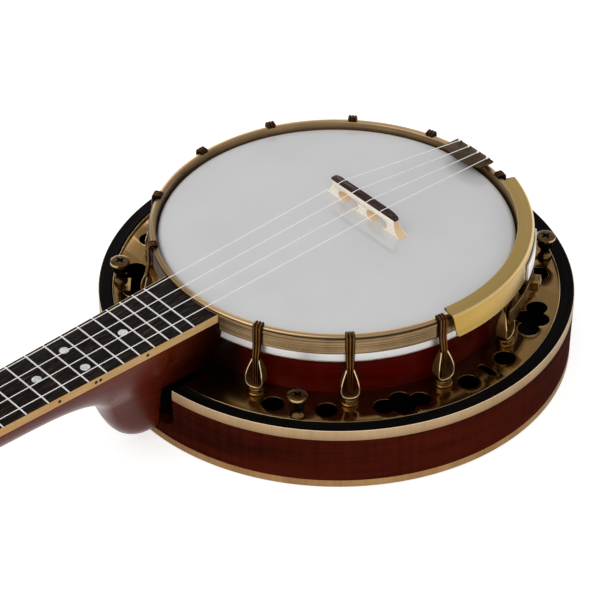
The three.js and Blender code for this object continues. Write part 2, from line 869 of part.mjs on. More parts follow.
// The neck's rounded handle, flat on top.
function neckShaft() {
  const steps = 12
  const rings = neckDepthShares.map(([lengthShare, depthShare]) => {
    const y = rimRadius + (nutBackY - rimRadius) * lengthShare
    return Array.from({ length: steps + 1 }, (unused, i) => {
      const turn = Math.PI + (Math.PI * i) / steps
      const drop = neckDepth * depthShare * Math.sin(turn)
      return new THREE.Vector3(boardHalf(y) * Math.cos(turn), y, woodTop(y) + drop)
    })
  })
  return skinned(rings)
}

// The heel's rounded block outside the resonator.
function heelBlock() {
  const back = resonatorRadius + fit + fit
  const steps = 8
  const rings = heelShares.map(([heightShare, reachShare, widthShare]) => {
    const half = heelHalfWidth * widthShare
    const height = heelBottom + heelHeight * heightShare
    const reach = heelReach * reachShare
    const round = Math.min(half, reach)
    const nose = Array.from({ length: steps + 1 }, (unused, i) => {
      const turn = (Math.PI * i) / steps
      return new THREE.Vector3(half * Math.cos(turn), back + reach - round + round * Math.sin(turn), height)
    })
    return [new THREE.Vector3(half, back, height), ...nose, new THREE.Vector3(-half, back, height)]
  })
  return skinned(rings)
}

// The block that runs from the heel through the notch to the rim.
function heelRoot() {
  const half = heelRootHalfWidth
  const floor = heelNotchFloor + heelRootRise
  return block([-half, rimRadius - rimWall, floor], [half, resonatorRadius + overrun, heelTop])
}

// The space round the pot that the neck's end keeps clear of.
function potClearance() {
  const profile = [
    [0, -overrun],
    [rimShoulderRadius + fit, -overrun],
    [rimShoulderRadius + fit, flangeBottom],
    [rimRadius + fit, flangeBottom],
    [rimRadius + fit, fleshHoopBottom - fit],
    [hoopRadius + neckEndGap, fleshHoopBottom - fit],
    [hoopRadius + neckEndGap, hoopTop],
    [0, hoopTop],
  ]
  return turned(profile)
}

// Frame of the tilted headstock: Y runs to its tip, Z stands on its wooden face
const headstock = new THREE.Group()
headstock.position.set(0, nutBackY, woodTop(nutBackY))
headstock.rotation.x = THREE.MathUtils.degToRad(-headstockAngle)
headstock.updateMatrix()
instrument.add(headstock)

// The right half of the headstock's outline as shares of its half width and length.
const headstockShares = [
  [[0.66, 0], [0.68, 0.12], [1, 0.1], [1, 0.26]],
  [[1, 0.26], [1, 0.5], [0.86, 0.6], [0.93, 0.9]],
  [[0.93, 0.9], [0.95, 0.99], [0.5, 0.93], [0, 1]],
]

function headstockPlan() {
  const scaled = ([x, y]) => new THREE.Vector2(x * headstockHalfWidth, y * headstockLength)
  const curves = headstockShares.map((ends) => new THREE.CubicBezierCurve(...ends.map(scaled)))
  const right = curves.flatMap((curve) => curve.getPoints(5).slice(1))
  const side = [scaled(headstockShares[0][0]), ...right]
  const left = side.slice(0, -1).reverse().map((point) => new THREE.Vector2(-point.x, point.y))
  return new THREE.Shape([...side, ...left])
}

// Places of the tuners in the headstock's frame: bass side low, bass side high, treble high, treble low
const postPlaces = [
  [-postAcross, postRows[0]],
  [-postAcross, postRows[1]],
  [postAcross, postRows[1]],
  [postAcross, postRows[0]],
]

// The holes that the four tuner posts need through the headstock.
function postBores() {
  return postPlaces.map(([x, y]) => {
    const bore = pin(postRadius + runningGap, -headstockThickness - overrun, overlayThickness + overrun)
    return bore.translate(x, y, 0)
  })
}

function addNeck() {
  const head = cut(slab(headstockPlan(), -headstockThickness, 0), postBores()).applyMatrix4(headstock.matrix)
  const whole = join([neckShaft(), heelBlock(), heelRoot(), head])
  const grip = rodBore(0, rimRadius + rodGrip + fit)
  addPiece('neck', cut(whole, [potClearance(), grip]), mahogany)
  const overlay = slab(headstockPlan(), fit, fit + overlayThickness)
  addPiece('headstock_overlay', cut(overlay, postBores()), blackLacquer, headstock)
}

// Bridge: maple base with two arches, dark cap with four slots
function addBridge() {
  const base = headTop + fit
  const capBottom = bridgeTop - bridgeCapHeight
  const baseTop = capBottom - fit
  const front = scaleStartY + bridgeFront
  const shape = new THREE.Shape()
  shape.moveTo(-bridgeHalfWidth, base)
  shape.lineTo(bridgeHalfWidth, base)
  shape.quadraticCurveTo(bridgeCrownHalfWidth, base + bridgeFootHeight, bridgeCrownHalfWidth, baseTop)
  shape.lineTo(-bridgeCrownHalfWidth, baseTop)
  shape.quadraticCurveTo(-bridgeCrownHalfWidth, base + bridgeFootHeight, -bridgeHalfWidth, base)
  const plank = slab(shape, -front - overrun, -front + bridgeFootDepth + overrun).rotateX(Math.PI / 2)
  const wedge = sideSlab(
    outline([
      [front - bridgeFootDepth, base - overrun],
      [front, base - overrun],
      [front, baseTop + overrun],
      [front - bridgeCrownDepth, baseTop + overrun],
      [front - bridgeFootDepth, base],
    ]),
    bridgeHalfWidth + overrun,
  )
  const tools = [-archCentre, archCentre].flatMap((x) => {
    const arch = new THREE.Shape()
    arch.absellipse(x, base + archLift, archHalfWidth, archHalfHeight, 0, 2 * Math.PI, false)
    const mouth = block(
      [x - archMouthHalfWidth, front - bridgeFootDepth - overrun, base - overrun],
      [x + archMouthHalfWidth, front + overrun, base + archLift],
    )
    const reach = bridgeFootDepth + overrun
    return [slab(arch, -front - overrun, -front + reach, 8).rotateX(Math.PI / 2), mouth]
  })
  addPiece('bridge_base', cut(common(plank, wedge), tools), paleMaple)
  const round = bridgeCapHeight / 2
  const cap = new THREE.Shape()
  cap.moveTo(-bridgeCapHalfWidth, capBottom)
  cap.lineTo(bridgeCapHalfWidth, capBottom)
  cap.absarc(bridgeCapHalfWidth - round, bridgeTop - round, round, 0, Math.PI / 2, false)
  cap.absarc(round - bridgeCapHalfWidth, bridgeTop - round, round, Math.PI / 2, Math.PI, false)
  const slots = stringShares.map((share) => {
    const x = share * bridgeStringSpacing
    const floor = bridgeTop - stringSlotDepth
    return block(
      [x - slotHalfWidth, front - bridgeCrownDepth - overrun, floor],
      [x + slotHalfWidth, front + overrun, bridgeTop + overrun],
    )
  })
  const capBar = slab(cap, -front, -front + bridgeCrownDepth, 3).rotateX(Math.PI / 2)
  addPiece('bridge_cap', cut(capBar, slots), ebony)
}

// A curve that passes straight from one given point to the next, one step for each.
class Route extends THREE.Curve {
  constructor(points) {
    super()
    this.points = points
  }

  getPointAt(u) {
    const place = u * (this.points.length - 1)
    const i = Math.min(Math.floor(place), this.points.length - 2)
    return this.points[i].clone().lerp(this.points[i + 1], place - i)
  }

  getTangentAt(u) {
    const i = Math.round(u * (this.points.length - 1))
    const before = this.points[Math.max(i - 1, 0)]
    const after = this.points[Math.min(i + 1, this.points.length - 1)]
    return after.clone().sub(before).normalize()
  }
}

// The turns of a string round its post, from the side where it arrives, in the instrument's frame.
function wrapPoints([x, y]) {
  const radius = postRadius + wrapGap + stringRadius
  const side = Math.sign(x)
  return Array.from({ length: wrapTurns * wrapStepsPerTurn + 1 }, (unused, i) => {
    const turns = i / wrapStepsPerTurn
    const turn = Math.PI * (1 - 2 * turns)
    const point = new THREE.Vector3(x + side * radius * Math.cos(turn), y + radius * Math.sin(turn), 0)
    point.z = wrapHeight - wrapPitch * turns
    return point.applyMatrix4(headstock.matrix)
  })
}

function addStrings() {
  const tailHeight = tailTop + fit + stringRadius
  const section = new THREE.Shape()
  section.absarc(0, 0, stringRadius, 0, 2 * Math.PI, false)
  stringShares.forEach((share, i) => {
    const points = [
      new THREE.Vector3(share * tailStringSpacing, -tailRearRadius + fit, tailHeight),
      new THREE.Vector3(share * bridgeStringSpacing, scaleStartY, bridgeStringHeight),
      new THREE.Vector3(share * nutStringSpacing, nutY, nutStringHeight),
      new THREE.Vector3(share * nutStringSpacing, nutBackY, nutBackStringHeight),
      ...wrapPoints(postPlaces[i]),
    ]
    const options = { steps: points.length - 1, extrudePath: new Route(points), curveSegments: 3 }
    addPiece(`string_${i + 1}`, sealed(new THREE.ExtrudeGeometry(section, options)), nylon)
  })
}

// Tailpiece plate over the hoop with a leg outside it, and the rod that holds both ends of the pot
function addTailpiece() {
  const rear = -tailRearRadius
  const front = rear + tailLength
  const bottom = tailTop - tailThickness
  const plan = new THREE.Shape()
  plan.moveTo(-tailHalfWidth, rear)
  plan.lineTo(tailHalfWidth, rear)
  plan.lineTo(tailHalfWidth, front)
  plan.quadraticCurveTo(0, front + 2 * tailCrown, -tailHalfWidth, front)
  const plate = slab(plan, bottom, tailTop)
  const legInner = -(hoopRadius + fit)
  const legOuter = legInner - tailThickness
  const leg = outline([
    [rear, tailTop],
    [rear + tailThickness, bottom],
    [legInner, bottom],
    [legInner, tailLegBottom],
    [legOuter, tailLegBottom],
    [legOuter, tailTop - tailDrop],
  ])
  const bracket = join([plate, sideSlab(leg, tailLegWidth / 2)])
  addPiece('tailpiece', cut(bracket, [rodBore(legOuter - overrun, legInner + overrun)]), bronze)
  const rodStart = legOuter - fit - tailNutThread
  const rod = pin(rodRadius, rodStart, rimRadius + rodGrip).rotateX(-Math.PI / 2).translate(0, 0, rodHeight)
  addPiece('coordinator_rod', rod, paleMetal)
  const threadRadius = rodRadius + fit
  const nut = [
    [threadRadius, fit],
    [tailNutRadius, fit],
    [tailNutRadius, tailNutLength - tailNutRadius / 4],
    [tailNutRadius / 2, tailNutLength + fit],
    [0, tailNutLength + fit],
    [0, tailNutThread + fit + fit],
    [threadRadius, tailNutThread + fit + fit],
    [threadRadius, fit],
  ]
  const nutPiece = turned(nut, postFacets).rotateX(Math.PI / 2)
  addPiece('tailpiece_bolt', nutPiece.translate(0, legOuter, rodHeight), bronze)
}

function addArmrest() {
  const bottom = armrestTop - armrestSkirtHeight
  const skin = armrestThickness
  const section = [
    [armrestInnerRadius, armrestTop - skin],
    [armrestInnerRadius, armrestTop],
    [armrestOuterRadius - armrestEdge, armrestTop],
    [armrestOuterRadius - armrestEdge / 4, armrestTop - armrestEdge / 3],
    [armrestOuterRadius, armrestTop - armrestEdge],
    [armrestOuterRadius, bottom, armrestSlantAngle],
    [armrestOuterRadius - skin, bottom, armrestSlantAngle],
    [armrestOuterRadius - skin, armrestTop - armrestEdge],
    [armrestOuterRadius - armrestEdge, armrestTop - skin],
  ]
  addPiece('armrest', sweptSection(section, armrestStartAngle, armrestEndAngle), brass)
  const inner = armrestOuterRadius + fit
  const outer = inner + bracketThickness
  const strip = (low, high) => [[inner, low], [outer, low], [outer, high], [inner, high]]
  const bar = sweptSection(strip(bracketBottom, bracketBottom + bracketBarHeight), bracketStartAngle, bracketEndAngle)
  const tab = sweptSection(strip(bracketBottom, bracketBottom + bracketTabHeight), bracketTabAngle, bracketEndAngle)
  const clampTop = bracketBottom + bracketBarHeight
  const clamp = block(
    [outer - bracketThickness / 2, -clampWidth / 2, clampTop - clampHeight],
    [outer + clampDepth, clampWidth / 2, clampTop],
  )
  clamp.rotateZ(aboutZ(clampAngle))
  addPiece('armrest_bracket', join([bar, tab, clamp]), brass)
}

// Tuner levels in the headstock's frame
const plateTop = -headstockThickness - fit
const plateBottom = plateTop - plateThickness
const wormAxisHeight = plateBottom - runningGap - wormRadius
const wormOffset = gearRadius + wormRadius + wormClearance
const shaftBore = wormShaftRadius + runningGap
const buttonStart = headstockHalfWidth + buttonReach - postAcross

// The plate behind a post with the two ears that carry the worm shaft, drawn for the treble side.
function tunerPlate() {
  const halfLength = wormLength / 2 + runningGap + bearingThickness
  const plate = block(
    [-halfLength, -postRadius - plateMargin, plateBottom],
    [halfLength, wormOffset + bearingHalfWidth, plateTop],
  )
  const ears = [-halfLength, halfLength - bearingThickness].map((x) =>
    block(
      [x, wormOffset - bearingHalfWidth, wormAxisHeight - bearingHalfWidth],
      [x + bearingThickness, wormOffset + bearingHalfWidth, plateBottom + plateThickness / 2],
    ),
  )
  const postHole = pin(postRadius + runningGap, plateBottom - overrun, plateTop + overrun)
  const shaftHole = pin(shaftBore, -halfLength - overrun, halfLength + overrun, boltFacets)
  shaftHole.rotateY(Math.PI / 2).translate(0, wormOffset, wormAxisHeight)
  return cut(join([plate, ...ears]), [postHole, shaftHole])
}

// The worm on its shaft with the button at the outer end, drawn along X for the treble side.
function wormButton() {
  const halfWorm = wormLength / 2
  const innerEnd = halfWorm + runningGap + bearingThickness + fit
  const shaft = [
    [0, -innerEnd],
    [wormShaftRadius, -innerEnd],
    [wormShaftRadius, -halfWorm],
    [wormRadius, -halfWorm],
    [wormRadius, halfWorm],
    [wormShaftRadius, halfWorm],
    [wormShaftRadius, buttonStart + fit],
    [0, buttonStart + fit],
  ]
  const rod = turned(shaft, boltFacets).rotateY(Math.PI / 2)
  const button = new THREE.SphereGeometry(1, 8, 6)
  button.scale(buttonLength / 2, buttonHalfWidth, buttonHalfThickness)
  button.translate(buttonStart + buttonLength / 2, 0, 0)
  return join([rod, button])
}

// The post through the headstock with its gear below and its cap above.
function gearPost() {
  const gearTop = wormAxisHeight + gearThickness / 2
  const gearBottom = wormAxisHeight - gearThickness / 2
  const top = fit + overlayThickness + postHeight
  const profile = [
    [0, gearBottom],
    [postRadius, gearBottom],
    [postRadius, top - postCapHeight],
    [postCapRadius, top - postCapHeight],
    [postCapRadius, top],
    [0, top],
  ]
  const teeth = Array.from({ length: 2 * gearTeeth }, (unused, i) => {
    const radius = i % 2 ? gearRadius : gearRadius - gearToothDepth
    const turn = (Math.PI * i) / gearTeeth
    return [radius * Math.cos(turn), radius * Math.sin(turn)]
  })
  return join([turned(profile, postFacets), slab(outline(teeth), gearBottom, gearTop)])
}

function addTuners() {
  const plate = tunerPlate()
  const worm = wormButton()
  const gear = gearPost()
  postPlaces.forEach(([x, y], i) => {
    const outward = x > 0 ? 0 : Math.PI
    addPiece(`tuner_plate_${i + 1}`, x > 0 ? plate : mirrored(plate), brass, headstock).position.set(x, y, 0)
    const wormPiece = addPiece(`worm_button_${i + 1}`, worm, pearl, headstock)
    wormPiece.position.set(x, y + wormOffset, wormAxisHeight)
    wormPiece.rotation.y = outward
    addPiece(`gear_post_${i + 1}`, gear, brass, headstock).position.set(x, y, 0)
  })
}

// The same piece for the other side of the plane X = 0.
function mirrored(geometry) {
  return sealed(geometry.clone().scale(-1, 1, 1))
}

addResonator()
addFlange()
addPot()
addHooks()
addResonatorScrews()
addFingerboard()
addNut()
addNeck()
addBridge()
addStrings()
addTailpiece()
addArmrest()
addTuners()

export default instrument
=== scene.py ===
"""Looks of a banjo ukulele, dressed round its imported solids.

Sizes are in millimetres until a mesh is made. Angles about the pot are in degrees from the neck, positive
towards the bass side, as in the part's own source.
"""

import logging
import math
from dataclasses import dataclass
from enum import Enum
from typing import Callable, Optional, Sequence, Union

import bmesh
import bpy
import numpy as np
from mathutils import Matrix, Vector
from mathutils.geometry import tessellate_polygon


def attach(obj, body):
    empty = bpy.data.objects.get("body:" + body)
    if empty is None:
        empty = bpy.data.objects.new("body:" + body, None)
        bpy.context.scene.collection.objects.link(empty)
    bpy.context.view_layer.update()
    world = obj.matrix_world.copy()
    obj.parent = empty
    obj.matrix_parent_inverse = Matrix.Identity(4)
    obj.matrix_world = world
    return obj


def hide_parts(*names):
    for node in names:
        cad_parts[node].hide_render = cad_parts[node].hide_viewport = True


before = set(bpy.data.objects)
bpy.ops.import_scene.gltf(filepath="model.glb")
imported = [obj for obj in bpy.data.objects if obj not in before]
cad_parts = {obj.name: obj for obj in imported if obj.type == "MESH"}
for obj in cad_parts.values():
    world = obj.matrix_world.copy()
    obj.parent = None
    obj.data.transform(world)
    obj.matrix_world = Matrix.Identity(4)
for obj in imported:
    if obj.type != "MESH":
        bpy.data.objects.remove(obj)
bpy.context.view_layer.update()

Points = np.ndarray
Place = Callable[[Points], Points]
Tint = tuple[float, float, float, float]

METRES = 0.001
BODY = "instrument"
ROUND_STEPS = 200
STRING_SHARES = (-1.5, -0.5, 0.5, 1.5)
log = logging.getLogger("banjo_ukulele")


def tint(red: float, green: float, blue: float) -> Tint:
    """Turns a colour as a screen shows it, from 0 to 255, into the shader's linear values.

    Args:
        red: The red level.
        green: The green level.
        blue: The blue level.

    Returns:
        The three linear values and a full alpha.
    """
    levels = np.array([red, green, blue]) / 255.0
    linear = np.where(levels <= 0.04045, levels / 12.92, ((levels + 0.055) / 1.055) ** 2.4)
    return (float(linear[0]), float(linear[1]), float(linear[2]), 1.0)


# Shape maths on whole arrays

def unit(vectors: Points) -> Points:
    """Vectors of length one; a zero vector stays zero."""
    length = np.linalg.norm(vectors, axis=-1, keepdims=True)
    return vectors / np.maximum(length, 1e-12)


def bent(start: Points, knee: Points, end: Points, t: Points) -> Points:
    """The quadratic curve (1-t)^2 A + 2t(1-t) P + t^2 B from A to B past the knee P."""
    return (1 - t) ** 2 * start + 2 * t * (1 - t) * knee + t**2 * end


def polar(radius: Points, turn: Points, height: Points) -> Points:
    """The points (r cos t, r sin t, z), their three numbers spread over one grid."""
    return np.stack(np.broadcast_arrays(radius * np.cos(turn), radius * np.sin(turn), height), -1)


def squared_off(wave: Points, power: float) -> Points:
    """A wave between -1 and 1 with its size raised to a power and its sign kept."""
    return np.sign(wave) * np.abs(wave) ** power


def oblong(left: float, low: float, right: float, high: float) -> list[tuple[float, float]]:
    """The corners of a rectangle, counter-clockwise from its lower left."""
    return [(left, low), (right, low), (right, high), (left, high)]


def rounded(corners: Sequence, radius: Union[float, Sequence[float]], steps: int = 3) -> Points:
    """Rounds the corners of a closed outline.

    Each corner P becomes a quadratic curve between the points a radius away from it on its two edges. One
    more point beyond each end keeps the flat faces flat under smooth shading.

    Args:
        corners: The outline's corners in two coordinates.
        radius: One radius, or one for each corner; 0 leaves a corner sharp.
        steps: The number of steps along each curve.

    Returns:
        The points of the rounded outline.
    """
    corner = np.asarray(corners, float)
    reach = np.broadcast_to(np.asarray(radius, float), len(corner))[:, None, None]
    back = unit(np.roll(corner, 1, 0) - corner)[:, None]
    ahead = unit(np.roll(corner, -1, 0) - corner)[:, None]
    middle = corner[:, None]
    start, end = middle + back * reach, middle + ahead * reach
    curve = bent(start, middle, end, np.linspace(0, 1, steps + 1)[None, :, None])
    support = 0.35 * reach
    return np.concatenate([start + back * support, curve, end + ahead * support], 1).reshape(-1, 2)


def rounded_line(corners: Sequence, radius: float, steps: int = 5) -> Points:
    """An open line through corners, rounded inside and sharp at both ends.

    Args:
        corners: The line's corners in two coordinates.
        radius: The radius at each corner between the ends.
        steps: The number of steps along each curve.

    Returns:
        The points of the rounded line.
    """
    bare = np.asarray(corners, float)
    reach = np.full(len(bare), radius)
    reach[[0, -1]] = 0
    return distinct(rounded(bare, reach, steps))


def distinct(line: Points) -> Points:
    """Drops points that repeat the one before them."""
    step = np.linalg.norm(np.diff(line, axis=0), axis=1)
    return line[np.concatenate([[True], step > 1e-6])]


def lengths(line: Points) -> Points:
    """How far along a line each of its points lies."""
    return np.concatenate([[0], np.cumsum(np.linalg.norm(np.diff(line, axis=0), axis=1))])


def stepped(line: Points, stations: Points) -> Points:
    """The points of a line at given distances along it."""
    along = lengths(line)
    return np.stack([np.interp(stations, along, line[:, k]) for k in range(line.shape[1])], -1)


def eased(controls: Sequence, count: int) -> Points:
    """A smooth curve through control points, evenly spaced: the Catmull-Rom blend of each four neighbours.

    Args:
        controls: The control points.
        count: The number of the curve's points.

    Returns:
        The curve's points.
    """
    control = np.asarray(controls, float)
    padded = np.concatenate([2 * control[:1] - control[1:2], control, 2 * control[-1:] - control[-2:-1]])
    place = np.linspace(0, len(control) - 1 - 1e-9, count * 4)
    i = place.astype(int)
    t = (place - i)[:, None]
    a, b, c, d = padded[i], padded[i + 1], padded[i + 2], padded[i + 3]
    curve = 0.5 * (2 * b + (c - a) * t + (2 * a - 5 * b + 4 * c - d) * t**2 + (3 * b - a - 3 * c + d) * t**3)
    return stepped(curve, np.linspace(0, lengths(curve)[-1], count))


def circle(radius: float, count: int = 48, centre: Sequence[float] = (0.0, 0.0)) -> Points:
    """Points evenly round a circle."""
    return polar(radius, np.linspace(0, 2 * np.pi, count, endpoint=False), 0.0)[:, :2] + centre


def arc(radius: float, start: float, end: float, count: int, centre: Sequence[float] = (0.0, 0.0)) -> Points:
    """Points along an arc between two angles in degrees from the X axis."""
    return polar(radius, np.radians(np.linspace(start, end, count)), 0.0)[:, :2] + centre


def about_pot(points: Points, from_neck: float, radius: float = 0.0) -> Points:
    """Turns a shape drawn with +X outwards to its place round the pot, moved out by a radius first.

    Args:
        points: The shape's points.
        from_neck: The angle from the neck, in degrees, positive towards the bass side.
        radius: How far out the shape is moved first.

    Returns:
        The points in their place.
    """
    turn = math.radians(90 + from_neck)
    x, y = points[..., 0] + radius, points[..., 1]
    cosine, sine = math.cos(turn), math.sin(turn)
    return np.stack([cosine * x - sine * y, sine * x + cosine * y, points[..., 2]], -1)


def swept(path: Points, section: Points, side: Sequence[float], scale: Optional[Points] = None) -> Points:
    """Carries a section along a path.

    A section point (a, b) lands at path + a S + b (S x T), where T is the path's direction and S the part of
    the given side vector that stands square to it.

    Args:
        path: The stations of the path.
        section: The section's points in two coordinates.
        side: The direction that the section's first coordinate follows.
        scale: Two factors for each station, for the section's two coordinates.

    Returns:
        One row of points for each station.
    """
    along = unit(np.gradient(path, axis=0))
    across = np.broadcast_to(np.asarray(side, float), path.shape)
    across = unit(across - along * np.sum(across * along, -1, keepdims=True))
    rise = np.cross(across, along)
    factor = np.ones((len(path), 2)) if scale is None else scale
    first = section[None, :, :1] * factor[:, None, :1]
    second = section[None, :, 1:] * factor[:, None, 1:]
    return path[:, None] + first * across[:, None] + second * rise[:, None]


def offset(line: Points, distance: float) -> Points:
    """Moves a counter-clockwise outline to its left by a distance, mitred at the corners.

    Args:
        line: The outline.
        distance: How far each edge moves.

    Returns:
        The moved outline.
    """
    ahead = unit(np.roll(line, -1, 0) - line)
    back = unit(line - np.roll(line, 1, 0))
    left = unit(np.stack([-(ahead + back)[:, 1], (ahead + back)[:, 0]], -1))
    square = np.stack([-ahead[:, 1], ahead[:, 0]], -1)
    spread = np.maximum(np.sum(left * square, -1, keepdims=True), 0.5)
    return line + left * distance / spread


def wound(line: Points, hole: bool) -> Points:
    """An outline wound counter-clockwise, or clockwise for a hole, without repeated points.

    Args:
        line: The outline.
        hole: Whether it bounds a hole.

    Returns:
        The outline's points.
    """
    line = distinct(line)
    if np.linalg.norm(line[0] - line[-1]) < 1e-6:
        line = line[:-1]
    following = np.roll(line, -1, 0)
    area = np.sum(line[:, 0] * following[:, 1] - following[:, 0] * line[:, 1])
    return line[::-1] if (area < 0) != hole else line


def as_placed(points: Points) -> Points:
    """Leaves points where they are."""
    return points


def upright(points: Points) -> Points:
    """Turns a shape drawn in X and Y to stand in X and Z, its thickness towards -Y."""
    return np.stack([points[..., 0], -points[..., 2], points[..., 1]], -1)


class Shell:
    """Closed surfaces gathered for one mesh."""

    def __init__(self) -> None:
        """Starts empty."""
        self.points: list[Points] = []
        self.relief: list[Points] = []
        self.faces: list[list[int]] = []
        self.smooth: list[bool] = []
        self.count = 0

    def add(self, points: Points, faces: Sequence, smooth: bool, relief: Union[float, Points]) -> int:
        """Adds points with their relief, and faces between them.

        Args:
            points: The points, on any grid.
            faces: The faces, with the first point as 0.
            smooth: Shades the faces smoothly.
            relief: The relief of all the points, or of each.

        Returns:
            The first point's number.
        """
        first = self.count
        rows = points.reshape(-1, 3)
        self.points.append(rows)
        self.relief.append(np.broadcast_to(relief, points.shape[:-1]).reshape(-1))
        self.count += len(rows)
        self.link(np.asarray(faces) + first, smooth)
        return first

    def link(self, faces: Sequence, smooth: bool) -> None:
        """Adds faces between points that are already there.

        Args:
            faces: The faces, by the points' numbers.
            smooth: Shades them smoothly.
        """
        rows = np.asarray(faces).tolist()
        self.faces.extend(rows)
        self.smooth.extend([smooth] * len(rows))

    def grid(
        self,
        points: Points,
        loop_rows: bool = False,
        capped: bool = True,
        relief: Union[float, Points] = 0.0,
    ) -> None:
        """Adds a grid of points as quads between neighbouring rows and columns, each row a closed ring.

        Args:
            points: Rows of columns of points.
            loop_rows: Joins the last row to the first.
            capped: Closes the first and the last row with one flat face each, where the rows don't loop.
            relief: How far each point's finish is painted bright as wear and highlight (up to 1) and dark as
                dirt and shade (down to -1).
        """
        rows, columns = points.shape[:2]
        i, j = np.meshgrid(np.arange(rows if loop_rows else rows - 1), np.arange(columns), indexing="ij")
        below, beside = (i + 1) % rows, (j + 1) % columns
        corners = [i * columns + j, i * columns + beside, below * columns + beside, below * columns + j]
        first = self.add(points, np.stack(corners, -1).reshape(-1, 4), True, relief)
        if capped and not loop_rows:
            self.link([np.arange(columns)[::-1] + first], False)
            self.link([np.arange(columns) + first + (rows - 1) * columns], False)

    def turn(self, profile: Points, place: Place = as_placed, count: int = 48, closed: bool = False) -> None:
        """Turns a profile of radius and height about the Z axis.

        A profile point (r, z) lands at (r cos t, r sin t, z) for every turn t.

        Args:
            profile: The profile; an open one starts and ends on the axis.
            place: Puts the turned points in their place.
            count: The number of steps round the axis.
            closed: Joins the profile's end to its start.
        """
        turn = np.linspace(0, 2 * np.pi, count, endpoint=False)
        radius, height = np.asarray(profile, float).T[..., None]
        self.grid(place(polar(radius, turn, height)), loop_rows=closed, capped=False)

    def plate(
        self,
        outer: Points,
        holes: Sequence[Points],
        bottom: float,
        top: float,
        edge: float,
        place: Place = as_placed,
        rubbed_and_lit: float = 0.0,
        walls: float = 0.0,
    ) -> None:
        """Raises an outline with holes into a plate whose edges are rounded.

        Each outline is drawn at several heights, moved into the material by edge (1 - sin t) where it stands
        edge (1 - cos t) from a face, and the two faces are filled flat.

        Args:
            outer: The outline.
            holes: The outlines of its holes.
            bottom: The lower face's height.
            top: The upper face's height.
            edge: The radius of the rounded edges.
            place: Puts the points in their place.
            rubbed_and_lit: The relief of the upper edge.
            walls: The relief of the walls between the two faces.
        """
        turn = np.linspace(0, np.pi / 2, 4)
        inset = edge * (1 - np.sin(turn))
        rise = edge * (1 - np.cos(turn))
        support = min(1.4 * edge, (top - bottom) / 2)
        insets = np.concatenate([inset, [0, 0], inset[::-1]])
        heights = np.concatenate([bottom + rise, [bottom + support, top - support], top - rise[::-1]])
        wear_and_light = np.where(heights >= top - edge, rubbed_and_lit, walls)
        wear_and_light[[0, -1]] = (0.0, rubbed_and_lit)
        floor, ceiling = [], []
        for outline, hole in [(outer, False), *[(line, True) for line in holes]]:
            line = wound(outline, hole)
            points = np.stack([
                np.column_stack([offset(line, inward), np.full(len(line), height)])
                for inward, height in zip(insets, heights)
            ])
            first = self.count
            self.grid(place(points), capped=False, relief=wear_and_light[:, None])
            floor.append((points[0], first))
            ceiling.append((points[-1], first + (len(heights) - 1) * len(line)))
        for loops in (floor, ceiling):
            numbers = np.concatenate([first + np.arange(len(line)) for line, first in loops])
            flat = [[Vector((x, y, 0)) for x, y, _ in line] for line, _ in loops]
            triangles = np.asarray(tessellate_polygon(flat))
            self.link(numbers[triangles], False)

    def block(
        self, low: Sequence[float], high: Sequence[float], edge: float, place: Place = as_placed
    ) -> None:
        """Adds a box with rounded edges between two corners."""
        self.plate(rounded(oblong(*low[:2], *high[:2]), edge), [], low[2], high[2], edge, place)

    def tube(self, path: Points, radius: float, count: int = 12) -> None:
        """Carries a circle along a path and closes both ends."""
        self.grid(swept(path, circle(radius, count), (0, 0, 1)))

    def copied(self, place: Place) -> "Shell":
        """The same surfaces in another place.

        Args:
            place: Puts the points in their place.

        Returns:
            The copy.
        """
        copy = Shell()
        copy.points = [place(rows) for rows in self.points]
        copy.relief = self.relief
        copy.faces, copy.smooth, copy.count = list(self.faces), list(self.smooth), self.count
        return copy


def past_opening(section: Points, half: float, steps: int) -> Points:
    """Carries a section round the pot from one side of the neck's opening to the other.

    A point of radius R stands at R (sin a, cos a), with a running from asin(half / R) round to the same
    angle on the other side.

    Args:
        section: The section's points of radius and height.
        half: Half the opening's width.
        steps: The number of stations.

    Returns:
        One row of points for each of the section's points.
    """
    radius, height = section[:, 0][:, None], section[:, 1][:, None]
    lead = np.arcsin(half / radius)
    turn = lead + np.linspace(0, 1, steps)[None] * (2 * np.pi - 2 * lead)
    return np.stack([radius * np.sin(turn), radius * np.cos(turn), height + 0 * turn], -1)


def notched_ring(
    shell: Shell,
    profile: Points,
    half: float,
    limit: Callable[[Points, Points], Points],
    relief: Union[float, Points] = 0.0,
    painted_light_by_place: Optional[Callable[[Points], Points]] = None,
) -> None:
    """A ring whose section is cut where the neck passes, |x| < half on the neck's side.

    Inside the opening x runs straight across and y = sqrt(R^2 - x^2), with the heights limited by the given
    rule of |x| and height.

    Args:
        shell: Takes the surface.
        profile: The closed section of radius and height.
        half: Half the opening's width.
        limit: Gives the heights inside the opening.
        relief: The relief of each of the profile's points.
        painted_light_by_place: Gives what each place round the pot adds to the relief.
    """
    radius, height = profile[:, 0][:, None], profile[:, 1][:, None]
    x = half * np.sin(np.linspace(-np.pi / 2, np.pi / 2, 25))[None] + 0 * radius
    inside = np.stack([x, np.sqrt(radius**2 - x**2), limit(np.abs(x), height + 0 * x)], -1)
    points = np.concatenate([past_opening(profile, half, 180), inside], 1)
    wear_and_light = np.broadcast_to(relief, len(profile))[:, None]
    shell.grid(points, loop_rows=True, relief=wear_and_light + painted_light_by_place(points) if painted_light_by_place else wear_and_light)


def string_slots(spacing: float, top: float, mouth: float, depth: float) -> list[tuple[float, float]]:
    """The corners of four slots in a top edge, from the treble string to the bass one.

    Args:
        spacing: The distance between two strings.
        top: The edge's height.
        mouth: Half a slot's width at the edge.
        depth: How deep a slot goes.

    Returns:
        Four corners for each slot.
    """
    foot, low = 0.45, top - depth
    centres = [share * spacing for share in reversed(STRING_SHARES)]
    corners = ((mouth, top), (foot, low), (-foot, low), (-mouth, top))
    return [(x + across, height) for x in centres for across, height in corners]


# Shader maths and finishes

